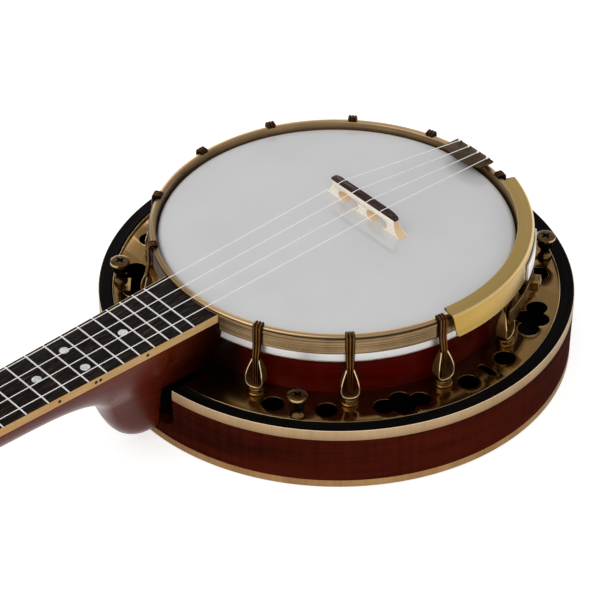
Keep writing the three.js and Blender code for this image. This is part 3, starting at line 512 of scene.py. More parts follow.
class Value:
    """A number that changes over a surface: one socket with plain maths on it."""

    def __init__(self, recipe: "Tree", socket: bpy.types.NodeSocket) -> None:
        """Wraps a socket of the recipe's tree."""
        self.recipe = recipe
        self.socket = socket

    def math(self, operation: str, first: object, second: object) -> "Value":
        """One Math node on two numbers or values."""
        node = self.recipe.node("ShaderNodeMath", {"operation": operation}, {0: first, 1: second})
        return Value(self.recipe, node.outputs[0])

    def __add__(self, other: object) -> "Value":
        """The sum."""
        return self.math("ADD", self, other)

    __radd__ = __add__

    def __mul__(self, other: object) -> "Value":
        """The product."""
        return self.math("MULTIPLY", self, other)

    __rmul__ = __mul__

    def __sub__(self, other: object) -> "Value":
        """The difference."""
        return self.math("SUBTRACT", self, other)

    def __rsub__(self, other: object) -> "Value":
        """A number less this value."""
        return self.math("SUBTRACT", other, self)

    def __pow__(self, other: object) -> "Value":
        """The power."""
        return self.math("POWER", self, other)

    def step(self, low: float, high: float) -> "Value":
        """Runs smoothly from 0 at low to 1 at high.

        Args:
            low: Where it leaves 0.
            high: Where it reaches 1.

        Returns:
            The stepped value.
        """
        settings = {"interpolation_type": "SMOOTHSTEP"}
        node = self.recipe.node("ShaderNodeMapRange", settings, {0: self, 1: low, 2: high, 3: 0.0, 4: 1.0})
        return Value(self.recipe, node.outputs[0])


class Lay(Enum):
    """Which way a grain or a brushing runs."""

    ALONG_NECK = "along the neck"
    ROUND_POT = "round the pot"
    ACROSS = "across the instrument"
    UPWARDS = "upwards"
    EVEN = "the same every way"


class Tree:
    """A node tree under construction."""

    def __init__(self, owner: Union[bpy.types.Material, bpy.types.World]) -> None:
        """Empties the tree of a material or a world.

        Args:
            owner: The material or the world.
        """
        owner.use_nodes = True
        self.tree = owner.node_tree
        self.tree.nodes.clear()

    def join(self, given: object, socket: bpy.types.NodeSocket) -> None:
        """Links a value or another node's socket to a socket, or sets a plain number or colour on it.

        Args:
            given: The value, socket, number or colour.
            socket: The socket that takes it.
        """
        source = given.socket if isinstance(given, Value) else given
        if isinstance(source, bpy.types.NodeSocket):
            self.tree.links.new(source, socket)
        else:
            socket.default_value = source

    def node(
        self, kind: str, settings: Optional[dict] = None, sockets: Optional[dict] = None
    ) -> bpy.types.Node:
        """Adds a node.

        Args:
            kind: The node's type.
            settings: Its own settings, which are set first.
            sockets: Numbers, colours, sockets or values for its inputs, by name or number.

        Returns:
            The node.
        """
        node = self.tree.nodes.new(kind)
        for key, setting in (settings or {}).items():
            setattr(node, key, setting)
        for key, given in (sockets or {}).items():
            self.join(given, node.inputs[key])
        return node

    def mix(self, factor: Value, first: object, second: object) -> bpy.types.NodeSocket:
        """Goes from one colour to another."""
        node = self.node("ShaderNodeMix", {"data_type": "RGBA"}, {0: factor, 6: first, 7: second})
        return node.outputs[2]

    def background_rays(self) -> Value:
        """Tells the rays that show a background: from the camera, off gloss and through glass.

        Returns:
            1 for such a ray and 0 for any other.
        """
        path = self.node("ShaderNodeLightPath")
        names = ("Is Camera Ray", "Is Glossy Ray", "Is Transmission Ray")
        camera, glossy, through = (Value(self, path.outputs[name]) for name in names)
        return camera.math("MAXIMUM", camera, camera.math("MAXIMUM", glossy, through))


class Recipe(Tree):
    """One material under construction."""

    def __init__(self, name: str) -> None:
        """Starts a material with its shader and output.

        Args:
            name: The material's name.
        """
        self.material = bpy.data.materials.new(name)
        super().__init__(self.material)
        self.shader = self.node("ShaderNodeBsdfPrincipled")
        self.output = self.node("ShaderNodeOutputMaterial", {}, {0: self.shader.outputs[0]})

    def split(self) -> tuple[Value, Value, Value]:
        """The three Object coordinates, in metres.

        Returns:
            The values of X, Y and Z.
        """
        coordinates = self.node("ShaderNodeTexCoord")
        parts = self.node("ShaderNodeSeparateXYZ", {}, {0: coordinates.outputs["Object"]})
        return tuple(Value(self, socket) for socket in parts.outputs)

    def relief(self) -> Value:
        """The piece's own relief: 1 on edges painted bright as wear and highlight, -1 in grooves painted dark
        as dirt and shade, 0 elsewhere.
        """
        node = self.node("ShaderNodeAttribute", {"attribute_name": "relief"})
        return Value(self, node.outputs["Fac"])

    def place(self, lay: Lay) -> bpy.types.NodeSocket:
        """Coordinates whose X runs with the lay, in metres.

        Args:
            lay: Which way the grain or the brushing runs.

        Returns:
            The coordinates' socket.
        """
        if lay is Lay.EVEN:
            return self.node("ShaderNodeTexCoord").outputs["Object"]
        x, y, z = self.split()
        if lay is Lay.ROUND_POT:
            angle = x.math("ARCTAN2", x, 0.0 - y)
            radius = (x * x + y * y) ** 0.5
            order = (angle * 0.12, radius, z)
        elif lay is Lay.ALONG_NECK:
            order = (y, x, z)
        elif lay is Lay.UPWARDS:
            order = (z, x, y)
        else:
            order = (x, y, z)
        joined = self.node("ShaderNodeCombineXYZ", {}, dict(enumerate(order)))
        return joined.outputs[0]

    def noise(self, place: bpy.types.NodeSocket, along: float, across: float, detail: float = 4.0) -> Value:
        """Noise from 0 to 1 with so many features to the metre along and across the lay.

        Args:
            place: The coordinates.
            along: The features to the metre along the lay.
            across: The features to the metre across it.
            detail: The number of finer layers.

        Returns:
            The noise's value.
        """
        factors = {0: place, 1: (along, across, across)}
        scaled = self.node("ShaderNodeVectorMath", {"operation": "MULTIPLY"}, factors).outputs[0]
        noise = self.node("ShaderNodeTexNoise", {}, {"Vector": scaled, "Scale": 1.0, "Detail": detail})
        return Value(self, noise.outputs[0])

    def bump(self, height: Value, strength: float, depth: float) -> bpy.types.NodeSocket:
        """Turns a height into a normal; the depth is in millimetres."""
        sockets = {"Strength": strength, "Distance": depth * METRES, "Height": height}
        return self.node("ShaderNodeBump", {}, sockets).outputs[0]

    def set(self, **inputs: object) -> None:
        """Sets or links the shader's own sockets, with underscores for the spaces in their names."""
        for key, given in inputs.items():
            self.join(given, self.shader.inputs[key.replace("_", " ")])


@dataclass(frozen=True)
class Finish:
    """A finish: its name and the record's slot that it belongs to."""

    name: str
    slot: str

    def material(self) -> bpy.types.Material:
        """The finish's material, made once.

        Returns:
            The material.
        """
        ready = bpy.data.materials.get(self.name)
        if ready:
            return ready
        recipe = Recipe(self.name)
        self.mixed(recipe)
        return recipe.material

    def mixed(self, recipe: Recipe) -> None:
        """Builds the shader; each kind of finish does this in its own way."""
        raise NotImplementedError


POT_SIDE = 0.106
BLACK_EDGE = 0.0003
# Colours of the painted shadow beside the neck and the painted shade inside the resonator.
NECK_SHADOW = tint(8, 3, 3)
INSIDE_SHADE = tint(8, 6, 6)


@dataclass(frozen=True)
class Wood(Finish):
    """Stained or bare wood under a thin clear coat.

    The black fields say where the wood is painted black as shade inside the resonator: within a radius of the
    pot's axis and between two heights. Shaded wood is painted darker towards the pot as shade, and wood
    within a half width beside the neck gets a painted shadow.
    """

    dark: Tint
    light: Tint
    lay: Lay
    roughness: float = 0.3
    shine: float = 0.16
    coat: float = 0.06
    fibres: float = 900.0
    open_pores: float = 0.4
    flame: float = 0.0
    # Colours for raised and sunken relief: a painted highlight and painted shade.
    pale: Optional[Tint] = None
    shade: Optional[Tint] = None
    black_within: float = 0.0
    black_from: float = 2.0
    black_to: float = 60.0
    shaded_to: float = 0.0
    shadowed_half: float = 0.0
    coat_blur: float = 0.12

    def mixed(self, recipe: Recipe) -> None:
        """Mixes broad figure, cross flame, fine fibres and pores into colour, roughness and bump.

        Args:
            recipe: The material under construction.
        """
        place = recipe.place(self.lay)
        figure = recipe.noise(place, 7.0, 45.0, 3.0)
        fibre = recipe.noise(place, 30.0, self.fibres, 3.0)
        pores = recipe.noise(place, 90.0, 2.2 * self.fibres, 2.0).step(0.56, 0.72)
        body = figure * 0.6 + fibre * 0.4
        if self.flame:
            band = recipe.noise(place, 420.0, 14.0, 2.0)
            body = body + (band - 0.5) * self.flame
        colour = recipe.mix(body.step(0.3, 0.7), self.dark, self.light)
        deep = tuple(0.45 * level for level in self.dark[:3]) + (1.0,)
        colour = recipe.mix(pores * self.open_pores, colour, deep)
        relief = recipe.relief()
        x, y, z = recipe.split()
        radius = (x * x + y * y) ** 0.5
        coat = self.coat
        # Painted highlight on raised relief, and painted shade on sunken relief.
        if self.pale:
            colour = recipe.mix(relief.step(0.0, 1.0), colour, self.pale)
        if self.shade:
            colour = recipe.mix((0.0 - relief).step(0.0, 1.0), colour, self.shade)
        # Painted shade: darker towards the pot, with the clear coat's sheen taken off there.
        if self.shaded_to:
            beside = 1.0 - radius.step(POT_SIDE, self.shaded_to * METRES)
            pot_shade = tuple(0.08 * level for level in self.dark[:3]) + (1.0,)
            colour = recipe.mix(beside * 0.98, colour, pot_shade)
            coat = (1.0 - beside) * self.coat
        # Painted shadow: near black within a half width beside the neck, on the neck's side of the pot.
        if self.shadowed_half:
            half = self.shadowed_half * METRES
            near = 1.0 - ((x * x) ** 0.5).step(0.8 * half, 1.25 * half)
            colour = recipe.mix(near * y.step(0.0, 0.01) * 0.9, colour, NECK_SHADOW)
        # Painted shade: black inside the resonator, within a radius and between two heights.
        if self.black_within:
            rim, low, high = (size * METRES for size in (self.black_within, self.black_from, self.black_to))
            inside = 1.0 - radius.step(rim, rim + BLACK_EDGE)
            height = z.step(low - BLACK_EDGE, low) * (1.0 - z.step(high, high + BLACK_EDGE))
            colour = recipe.mix(inside * height, colour, INSIDE_SHADE)
        roughness = self.roughness + 0.12 * fibre - 0.06 + pores * 0.08
        recipe.set(
            Base_Color=colour,
            Roughness=roughness,
            Normal=recipe.bump(fibre * 0.7 - pores * self.open_pores, 0.2, 0.04),
            Coat_Weight=coat,
            Coat_Roughness=self.coat_blur,
            Specular_IOR_Level=self.shine,
        )


@dataclass(frozen=True)
class Metal(Finish):
    """Plated metal with brushing, tarnish blotches, small pits, worn edges with painted highlight, and dirt
    with painted shade in grooves.
    """

    bright: Tint
    deep: Tint
    roughness: float = 0.22
    lay: Lay = Lay.EVEN
    brushing: float = 0.0
    tarnish: float = 0.35
    mottle: float = 90.0
    streaks: float = 2400.0
    # Colours on raised and sunken relief: wear with painted highlight, and dirt with painted shade.
    rubbed_and_lit: Tint = tint(226, 200, 152)
    dirt_and_shade: Tint = tint(22, 16, 11)
    metallic: float = 1.0

    def mixed(self, recipe: Recipe) -> None:
        """Mixes streaks and blotches into colour, roughness and bump.

        The piece's own relief attribute paints its edges bright, for wear and painted highlight, and its
        grooves dark, for dirt and painted shade.

        Args:
            recipe: The material under construction.
        """
        place = recipe.place(self.lay)
        blotch = recipe.noise(place, self.mottle, self.mottle, 5.0).step(0.38, 0.72)
        speck = recipe.noise(place, 1100.0, 1100.0, 2.0)
        streak = recipe.noise(place, 9.0, self.streaks, 4.0)
        worn = blotch * self.tarnish + (1.0 - streak.step(0.36, 0.66)) * self.brushing
        colour = recipe.mix(worn + speck.step(0.6, 0.8) * 0.12 * self.tarnish, self.bright, self.deep)
        roughness = self.roughness + blotch * 0.1 + streak * 0.16 * self.brushing + speck * 0.04
        relief = recipe.relief()
        colour = recipe.mix(relief.step(0.0, 1.0), colour, self.rubbed_and_lit)
        colour = recipe.mix((0.0 - relief).step(0.0, 1.0), colour, self.dirt_and_shade)
        roughness = roughness + (0.0 - relief).step(0.0, 1.0) * 0.2
        recipe.set(
            Base_Color=colour,
            Metallic=self.metallic,
            Roughness=roughness,
            Normal=recipe.bump(streak * (0.2 + self.brushing) + speck * 0.25, 0.1, 0.03),
        )


@dataclass(frozen=True)
class Film(Finish):
    """The drum head's coated plastic film."""

    colour: Tint
    shade: Tint

    def mixed(self, recipe: Recipe) -> None:
        """Mixes faint clouding and the coating's fine grain.

        Args:
            recipe: The material under construction.
        """
        place = recipe.place(Lay.EVEN)
        cloud = recipe.noise(place, 22.0, 22.0, 3.0)
        grain = recipe.noise(place, 1800.0, 1800.0, 2.0)
        recipe.set(
            Base_Color=recipe.mix(cloud.step(0.3, 0.7), self.colour, self.shade),
            Roughness=0.04 + 0.04 * grain + 0.03 * cloud,
            Normal=recipe.bump(grain, 0.02, 0.01),
            Specular_IOR_Level=0.9,
        )


@dataclass(frozen=True)
class Lacquer(Finish):
    """A dark opaque coat with the wood's grain faint beneath it."""

    colour: Tint
    worn: Tint
    roughness: float
    lay: Lay = Lay.ROUND_POT
    shine: float = 0.12

    def mixed(self, recipe: Recipe) -> None:
        """Mixes sunken grain, dust-fine specks and dull patches.

        Args:
            recipe: The material under construction.
        """
        place = recipe.place(self.lay)
        grain = recipe.noise(place, 25.0, 700.0, 3.0)
        patch = recipe.noise(place, 60.0, 60.0, 3.0)
        speck = recipe.noise(place, 2500.0, 2500.0, 1.0).step(0.7, 0.8)
        recipe.set(
            Base_Color=recipe.mix(grain.step(0.45, 0.8) * 0.7 + speck * 0.3, self.colour, self.worn),
            Roughness=self.roughness + patch * 0.12 + grain * 0.06,
            Normal=recipe.bump(grain, 0.1, 0.03),
            Specular_IOR_Level=self.shine,
        )


@dataclass(frozen=True)
class Board(Finish):
    """Oiled dark wood with open streaks along the neck."""

    dark: Tint
    streak: Tint
    lay: Lay = Lay.ALONG_NECK

    def mixed(self, recipe: Recipe) -> None:
        """Mixes long pale streaks, short pores and a dull sheen.

        Args:
            recipe: The material under construction.
        """
        place = recipe.place(self.lay)
        long_streaks = recipe.noise(place, 45.0, 1500.0, 4.0).step(0.48, 0.74)
        patches = recipe.noise(place, 28.0, 90.0, 2.0).step(0.35, 0.7)
        pores = recipe.noise(place, 260.0, 3200.0, 2.0).step(0.52, 0.68)
        pale = long_streaks * (0.25 + 0.75 * patches)
        colour = recipe.mix(pale, self.dark, self.streak)
        recipe.set(
            Base_Color=recipe.mix(pores * 0.5, colour, tint(14, 10, 9)),
            Roughness=0.46 + 0.14 * patches - 0.1 * pale,
            Normal=recipe.bump(long_streaks - pores, 0.35, 0.06),
            Specular_IOR_Level=0.03,
        )


@dataclass(frozen=True)
class Pearl(Finish):
    """Milky shell-like plastic with soft clouds."""

    pale: Tint
    cloud: Tint
    gloss: float = 0.2
    scale: float = 260.0

    def mixed(self, recipe: Recipe) -> None:
        """Mixes two sizes of cloud into colour and roughness.

        Args:
            recipe: The material under construction.
        """
        place = recipe.place(Lay.EVEN)
        broad = recipe.noise(place, self.scale, self.scale, 4.0)
        fine = recipe.noise(place, 4 * self.scale, 4 * self.scale, 2.0)
        recipe.set(
            Base_Color=recipe.mix((broad * 0.7 + fine * 0.3).step(0.36, 0.64), self.pale, self.cloud),
            Roughness=self.gloss + 0.12 * fine,
            Normal=recipe.bump(fine, 0.08, 0.02),
            Coat_Weight=0.4,
            Coat_Roughness=0.1,
        )


# The wall and the back are painted black inside the bowl as shade.
RED_WALL = Wood("red_mahogany_wall", "mahogany", tint(38, 8, 3), tint(74, 21, 8), Lay.ROUND_POT,
                0.3, 0.0, 0.02, flame=0.22, black_within=131.0)
# The neck is painted darker towards the pot and black inside the resonator, both as painted shade.
RED_NECK = Wood("red_mahogany_neck", "mahogany", tint(77, 15, 5), tint(107, 37, 12), Lay.ALONG_NECK,
                0.24, 0.08, 0.34, open_pores=0.04, black_within=138.4, black_to=38.6, shaded_to=168.0,
                coat_blur=0.32)
RED_BACK = Wood("red_mahogany_back", "mahogany", tint(58, 17, 9), tint(100, 40, 22), Lay.ALONG_NECK,
                0.3, 0.12, black_within=131.0)
# The rim gets a painted shadow beside the neck and is painted black below the flange as shade.
DARK_RIM = Wood("dark_mahogany_rim", "dark_mahogany", tint(49, 1, 1), tint(86, 6, 1), Lay.ROUND_POT,
                0.3, 0.12, 0.04, black_within=107.0, black_from=-1.0, black_to=37.2, shadowed_half=33.0)
# The upper binding's top edge is painted pale as a highlight, and its foot painted darker as shade.
EDGE_BINDING = Wood("maple_edge_binding", "blond_wood", tint(176, 145, 106), tint(198, 168, 128), Lay.UPWARDS,
                    0.4, 0.05, 0.0, 2200.0, 0.3, pale=tint(248, 226, 192), shade=tint(110, 74, 42))
LOW_BINDING = Wood("maple_foot_binding", "blond_wood", tint(148, 108, 66), tint(186, 146, 98), Lay.UPWARDS,
                   0.4, 0.05, 0.0, 2200.0)
BOARD_BINDING = Wood("maple_board_binding", "blond_wood", tint(180, 136, 82), tint(206, 169, 117),
                     Lay.ALONG_NECK, 0.4, 0.12, 0.0, 1100.0, 0.25)
# The bridge's walls take the shade tint: painted shade with the end grain's darker tone.
BRIDGE_MAPLE = Wood("maple_bridge", "bridge_maple", tint(255, 240, 218), tint(255, 251, 240), Lay.ACROSS,
                    0.5, 0.15, 0.0, 1800.0, 0.2, shade=tint(226, 190, 142))
BLACK_LIP = Lacquer("black_lip", "black_lacquer", tint(10, 8, 8), tint(26, 22, 21), 0.3, shine=0.01)
BLACK_FACE = Lacquer("black_headstock_face", "black_lacquer", tint(14, 13, 15), tint(30, 28, 30), 0.16,
                     Lay.ALONG_NECK, 0.4)
MIRROR_BRASS = Metal("mirror_brass", "brass", tint(158, 124, 74), tint(100, 70, 36), 0.1, Lay.ROUND_POT,
                     0.2, 0.25, 20.0)
ARM_BRASS = Metal("satin_arm_brass", "brass", tint(186, 152, 78), tint(142, 110, 50), 0.2, Lay.ROUND_POT,
                  0.3, 0.3, 14.0, 1600.0, rubbed_and_lit=tint(244, 214, 156))
SATIN_BRASS = Metal("satin_brass", "brass", tint(192, 164, 104), tint(150, 120, 66), 0.24, Lay.UPWARDS,
                    0.25, 0.3, 14.0, 2600.0)
AGED_BRASS = Metal("aged_brass", "brass", tint(156, 124, 76), tint(80, 56, 28), 0.2, Lay.EVEN,
                   0.0, 0.8, 160.0)
SCREW_BRASS = Metal("screw_brass", "brass", tint(106, 82, 46), tint(60, 44, 22), 0.16, Lay.EVEN,
                    0.0, 0.8, 260.0, rubbed_and_lit=tint(182, 150, 98))
BRUSHED_HOOP = Metal("brushed_hoop_brass", "brass", tint(172, 142, 104), tint(64, 47, 29), 0.22,
                     Lay.ROUND_POT, 0.8, 0.3, 40.0, 3200.0, rubbed_and_lit=tint(214, 180, 136))
DARK_BRONZE = Metal("dark_bronze", "bronze", tint(74, 45, 17), tint(42, 25, 9), 0.24, Lay.UPWARDS,
                    0.4, 0.4, 140.0, rubbed_and_lit=tint(122, 84, 42))
LOOP_BRONZE = Metal("rubbed_bronze", "bronze", tint(140, 102, 52), tint(76, 50, 22), 0.26, Lay.EVEN,
                    0.0, 0.6, 160.0, metallic=0.82)
TAIL_BRONZE = Metal("tailpiece_bronze", "bronze", tint(96, 78, 56), tint(60, 48, 34), 0.34, Lay.ACROSS,
                    0.3, 0.5, 120.0, rubbed_and_lit=tint(150, 124, 86))
PALE_BAND = Metal("pale_band", "pale_metal", tint(250, 249, 248), tint(222, 220, 218), 0.38, Lay.ROUND_POT,
                  0.3, 0.3, rubbed_and_lit=tint(254, 253, 250))
HEAD_FILM = Film("coated_head_film", "drum_film", tint(212, 212, 213), tint(207, 207, 208))
EBONY_CAP = Board("ebony_cap", "ebony", tint(58, 44, 42), tint(142, 124, 117), Lay.ACROSS)
ROSEWOOD = Board("rosewood_board", "rosewood", tint(19, 12, 9), tint(78, 66, 58))
FRET_SILVER = Metal("fret_silver", "pale_metal", tint(244, 242, 238), tint(222, 220, 214), 0.2, Lay.ACROSS,
                    0.2, 0.3, metallic=0.3)
BONE_NUT = Pearl("bone_nut", "bone", tint(232, 222, 198), tint(214, 200, 170), 0.3, 500.0)
STRING_NYLON = Pearl("string_nylon", "nylon", tint(252, 250, 247), tint(240, 238, 234), 0.24, 900.0)
SHELL_DOT = Pearl("shell_dot", "pearl", tint(226, 226, 226), tint(172, 176, 178), 0.2, 700.0)
BUTTON_PEARL = Pearl("button_pearl", "pearl", tint(232, 226, 212), tint(202, 192, 172), 0.16, 140.0)
DARK_DOT = Lacquer("dark_dot", "ebony", tint(20, 16, 14), tint(34, 28, 24), 0.4, Lay.ALONG_NECK)


def show(
    name: str, shell: Shell, finish: Finish, body: str = BODY, replaces: Sequence[str] = ()
) -> bpy.types.Object:
    """Makes a mesh of a shell, dresses it and puts it on its body.

    Args:
        name: The piece's name.
        shell: Its closed surfaces, in millimetres.
        finish: Its finish.
        body: The CAD body that it rides on.
        replaces: The CAD nodes that it stands for.

    Returns:
        The piece's object.
    """
    mesh = bpy.data.meshes.new(name)
    points = np.concatenate(shell.points) * METRES
    mesh.from_pydata(points.tolist(), [], shell.faces)
    mesh.polygons.foreach_set("use_smooth", shell.smooth)
    relief = mesh.attributes.new("relief", "FLOAT", "POINT")
    relief.data.foreach_set("value", np.concatenate(shell.relief).astype(np.float32))
    work = bmesh.new()
    work.from_mesh(mesh)
    bmesh.ops.remove_doubles(work, verts=work.verts, dist=2e-7)
    bmesh.ops.dissolve_degenerate(work, edges=work.edges, dist=1e-7)
    bmesh.ops.recalc_face_normals(work, faces=work.faces)
    work.to_mesh(mesh)
    work.free()
    mesh.set_sharp_from_angle(angle=math.radians(50))
    piece = bpy.data.objects.new(name, mesh)
    bpy.context.scene.collection.objects.link(piece)
    mesh.materials.append(finish.material())
    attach(piece, body)
    if replaces:
        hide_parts(*replaces)
    log.info("%s: %d faces, %s, on %s", name, len(mesh.polygons), finish.name, body)
    return piece


def show_turned(name: str, profile: Sequence, finish: Finish, node: str, closed: bool = False) -> None:
    """Turns a profile about the pot's axis into one piece that stands for one node.

    Args:
        name: The piece's name.
        profile: The profile of radius and height.
        finish: Its finish.
        node: The CAD node that it stands for.
        closed: Joins the profile's end to its start.
    """
    shell = Shell()
    shell.turn(profile, count=ROUND_STEPS, closed=closed)
    show(name, shell, finish, replaces=[node])


def dress(node: str, finish: Finish) -> None:
    """Gives a CAD node that is shown as it stands its finish.

    Args:
        node: The node's name.
        finish: Its finish.
    """
    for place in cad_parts[node].material_slots:
        place.material = finish.material()
    log.info("%s: kept from the CAD, %s", node, finish.name)


# Sub-assemblies

@dataclass
class Resonator:
    """The wooden bowl behind the pot, with its bindings and black lip."""

    foot_radius: float = 137.3
    radius: float = 138.0
    wall_inner: float = 130.2
    height: float = 40.9
    binding_depth: float = 0.9
    top_depth: float = 0.45
    lower_binding_top: float = 4.9
    upper_binding_bottom: float = 34.0
    upper_binding_top: float = 40.5
    back_top: float = 3.2
    wall_set_in: float = 0.06
    lip_seat: float = 1.7
    play: float = 0.05
    notch_half: float = 19.8
    notch_floor: float = 14.5
    notch_corner: float = 6.0

    def notch_top(self, across: Points, height: Points) -> Points:
        """Heights inside the heel's opening: the flat floor with a quarter circle in each corner.

        Args:
            across: Distances from the neck's middle.
            height: The section's own heights.

        Returns:
            The lower of both heights.
        """
        inner = self.notch_half - self.notch_corner
        beyond = np.clip(across - inner, 0, self.notch_corner)
        floor = self.notch_floor + self.notch_corner - np.sqrt(self.notch_corner**2 - beyond**2)
        return np.minimum(height, floor)

    def wall(self) -> None:
        """The side wall, slightly wider at the top, with the opening for the heel."""
        outer, foot = self.radius - self.wall_set_in, self.foot_radius - self.wall_set_in
        floor, seat = self.back_top + 0.1, self.height - self.lip_seat
        levels = np.linspace(self.lower_binding_top, self.upper_binding_bottom, 12)
        side = np.column_stack([np.linspace(foot, outer, 12), levels])
        inner = np.column_stack([np.full(10, self.wall_inner), np.linspace(seat, floor, 10)])
        low = np.array([[foot - 1.0, floor], [foot - 1.0, self.lower_binding_top]])
        high = np.array([[outer - 0.5, self.upper_binding_bottom], [outer - 0.5, seat]])
        shell = Shell()
        notched_ring(shell, np.concatenate([low, side, high, inner]), self.notch_half, self.notch_top)
        show("resonator_side", shell, RED_WALL, replaces=["resonator_wall"])

    def open_ring(self, name: str, section: Points, finish: Finish, node: str) -> None:
        """A ring that stops on both sides of the heel's opening, its top edge painted pale as a highlight and
        its foot painted dark as shade.

        Args:
            name: The piece's name.
            section: Its closed section of radius and height.
            finish: Its finish.
            node: The CAD node that it stands for.
        """
        rise = (section[:, 1] - section[:, 1].min()) / np.ptp(section[:, 1])
        # Painted highlight on the top edge and painted shade at the foot.
        wear_and_light = np.interp(rise, [0, 0.05, 0.94, 1], [-0.6, 0, 0, 0.8])
        stations = past_opening(section, self.notch_half, ROUND_STEPS).transpose(1, 0, 2)
        shell = Shell()
        shell.grid(stations, relief=wear_and_light[None])
        show(name, shell, finish, replaces=[node])

    def build(self) -> None:
        """Builds and dresses the bowl."""
        edge, inner, play = self.foot_radius - self.binding_depth, self.radius - self.top_depth, self.play
        back = [(0, 0), (60, 0), (edge - 2.6, 0), (edge - 1.2, 0.15), (edge - 0.4, 0.7), (edge - 0.1, 1.6),
                (edge - 0.1, self.back_top), (edge - 1, self.back_top), (0, self.back_top)]
        show_turned("resonator_back_board", back, RED_BACK, "resonator_back")
        self.wall()
        bottom, top = self.upper_binding_bottom, self.upper_binding_top
        upper = rounded(oblong(inner, bottom, self.radius, top), [0, 0.05, 0.3, 0.1])
        self.open_ring("upper_binding", upper, EDGE_BINDING, "resonator_top_binding")
        lower = rounded(oblong(edge, 0.25, self.foot_radius, self.lower_binding_top), [0.1, 0.5, 0.05, 0])
        show_turned("lower_binding", lower, LOW_BINDING, "resonator_bottom_binding", True)
        bottom, top = self.height - 1.6, self.height - 0.02
        lip = rounded(oblong(self.wall_inner - play, bottom, inner - play, top), [0, 0, 0.2, 0.5])
        self.open_ring("black_lip_ring", lip, BLACK_LIP, "resonator_lip")


@dataclass
class Flange:
    """The pierced brass plate between the pot and the resonator."""

    inner: float = 102.3
    outer: float = 129.9
    bottom: float = 37.7
    top: float = 39.2
    notch_half: float = 17.5
    notch_flare: float = 6.0
    hole_circle: float = 117.0
    hole_radius: float = 6.2
    pair_spread: float = 15.1
    slot_length: float = 12.0
    slot_width: float = 4.4
    cluster_spread: float = 10.3
    cluster_rise: float = 3.7
    edge_rise: float = 1.2
    edge_width: float = 0.6
    edge_inset: float = 0.35

    def placed(self, line: Points, from_neck: float) -> Points:
        """Moves an outline, drawn with +X outwards, onto the hole circle."""
        flat = np.column_stack([line, np.zeros(len(line))])
        return about_pot(flat, from_neck, self.hole_circle)[:, :2]

    def pair(self, from_neck: float) -> list[Points]:
        """Two round holes with a rounded slot between them.

        Args:
            from_neck: The angle of its middle from the neck, in degrees.

        Returns:
            Their three outlines.
        """
        half = self.slot_width / 2
        reach = self.slot_length / 2 - half
        slot = np.concatenate([arc(half, -90, 90, 9, (reach, 0)), arc(half, 90, 270, 9, (-reach, 0))])
        sides = [circle(self.hole_radius, 40, (0, side * self.pair_spread)) for side in (-1, 1)]
        return [self.placed(line, from_neck) for line in (slot, *sides)]

    def cluster(self, from_neck: float) -> list[Points]:
        """Four round holes run together: along each direction the farthest of the four circles' edges.

        Args:
            from_neck: The angle of its middle from the neck, in degrees.

        Returns:
            A list of its one outline.
        """
        turn = np.linspace(0, 2 * np.pi, 160, endpoint=False)
        way = np.stack([np.cos(turn), np.sin(turn)], -1)
        spread, rise = self.cluster_spread, self.cluster_rise
        centres = np.array([(0, spread), (0, -spread), (rise, 0), (-rise, 0)])
        along = way @ centres.T
        inside = self.hole_radius**2 - (np.sum(centres**2, 1)[None] - along**2)
        reach = np.where(inside >= 0, along + np.sqrt(np.maximum(inside, 0)), 0).max(1)
        return [self.placed(way * reach[:, None], from_neck)]

    def build(self, gaps: Sequence[float]) -> None:
        """Builds and dresses the plate.

        Args:
            gaps: The angles half way between neighbouring hooks on both sides, then the tail's.
        """
        half, flare = self.notch_half, self.notch_flare
        low = math.degrees(math.asin((half + flare) / self.outer))
        outside = arc(self.outer, 90 - low, 90 + low - 360, 260)
        corner = np.array([-half, math.sqrt(self.outer**2 - half**2)])
        foot = np.array([-half, corner[1] - flare])
        curve = bent(outside[-1], corner, foot, np.linspace(0, 1, 7)[1:-1, None])
        lead = math.degrees(math.asin(half / self.inner))
        inside = arc(self.inner, 90 + lead - 360, 90 - lead, 220)
        side = np.concatenate([curve, [foot]])
        outline = np.concatenate([outside, side, inside, side[::-1] * (-1, 1)])
        holes: list[Points] = []
        for number, angle in enumerate(gaps):
            holes += self.cluster(angle) if number % 2 or number == len(gaps) - 1 else self.pair(angle)
        shell = Shell()
        shell.plate(outline, holes, self.bottom, self.top, 0.15)
        inset = 1 - self.edge_inset / self.outer
        line = np.column_stack([outside * inset, np.full(len(outside), self.top)])
        half = self.edge_width / 2
        section = rounded(oblong(-0.2, -half, self.edge_rise, half), [0.02, 0.25, 0.25, 0.02])
        # The bead's crest is painted bright as a highlight.
        wear_and_light = np.interp(section[:, 0], [0, self.edge_rise - 0.5, self.edge_rise], [-0.1, 0.0, 0.75])
        shell.grid(swept(line, section, (0, 0, 1)), relief=wear_and_light[None])
        show("pierced_flange", shell, MIRROR_BRASS, replaces=["flange"])


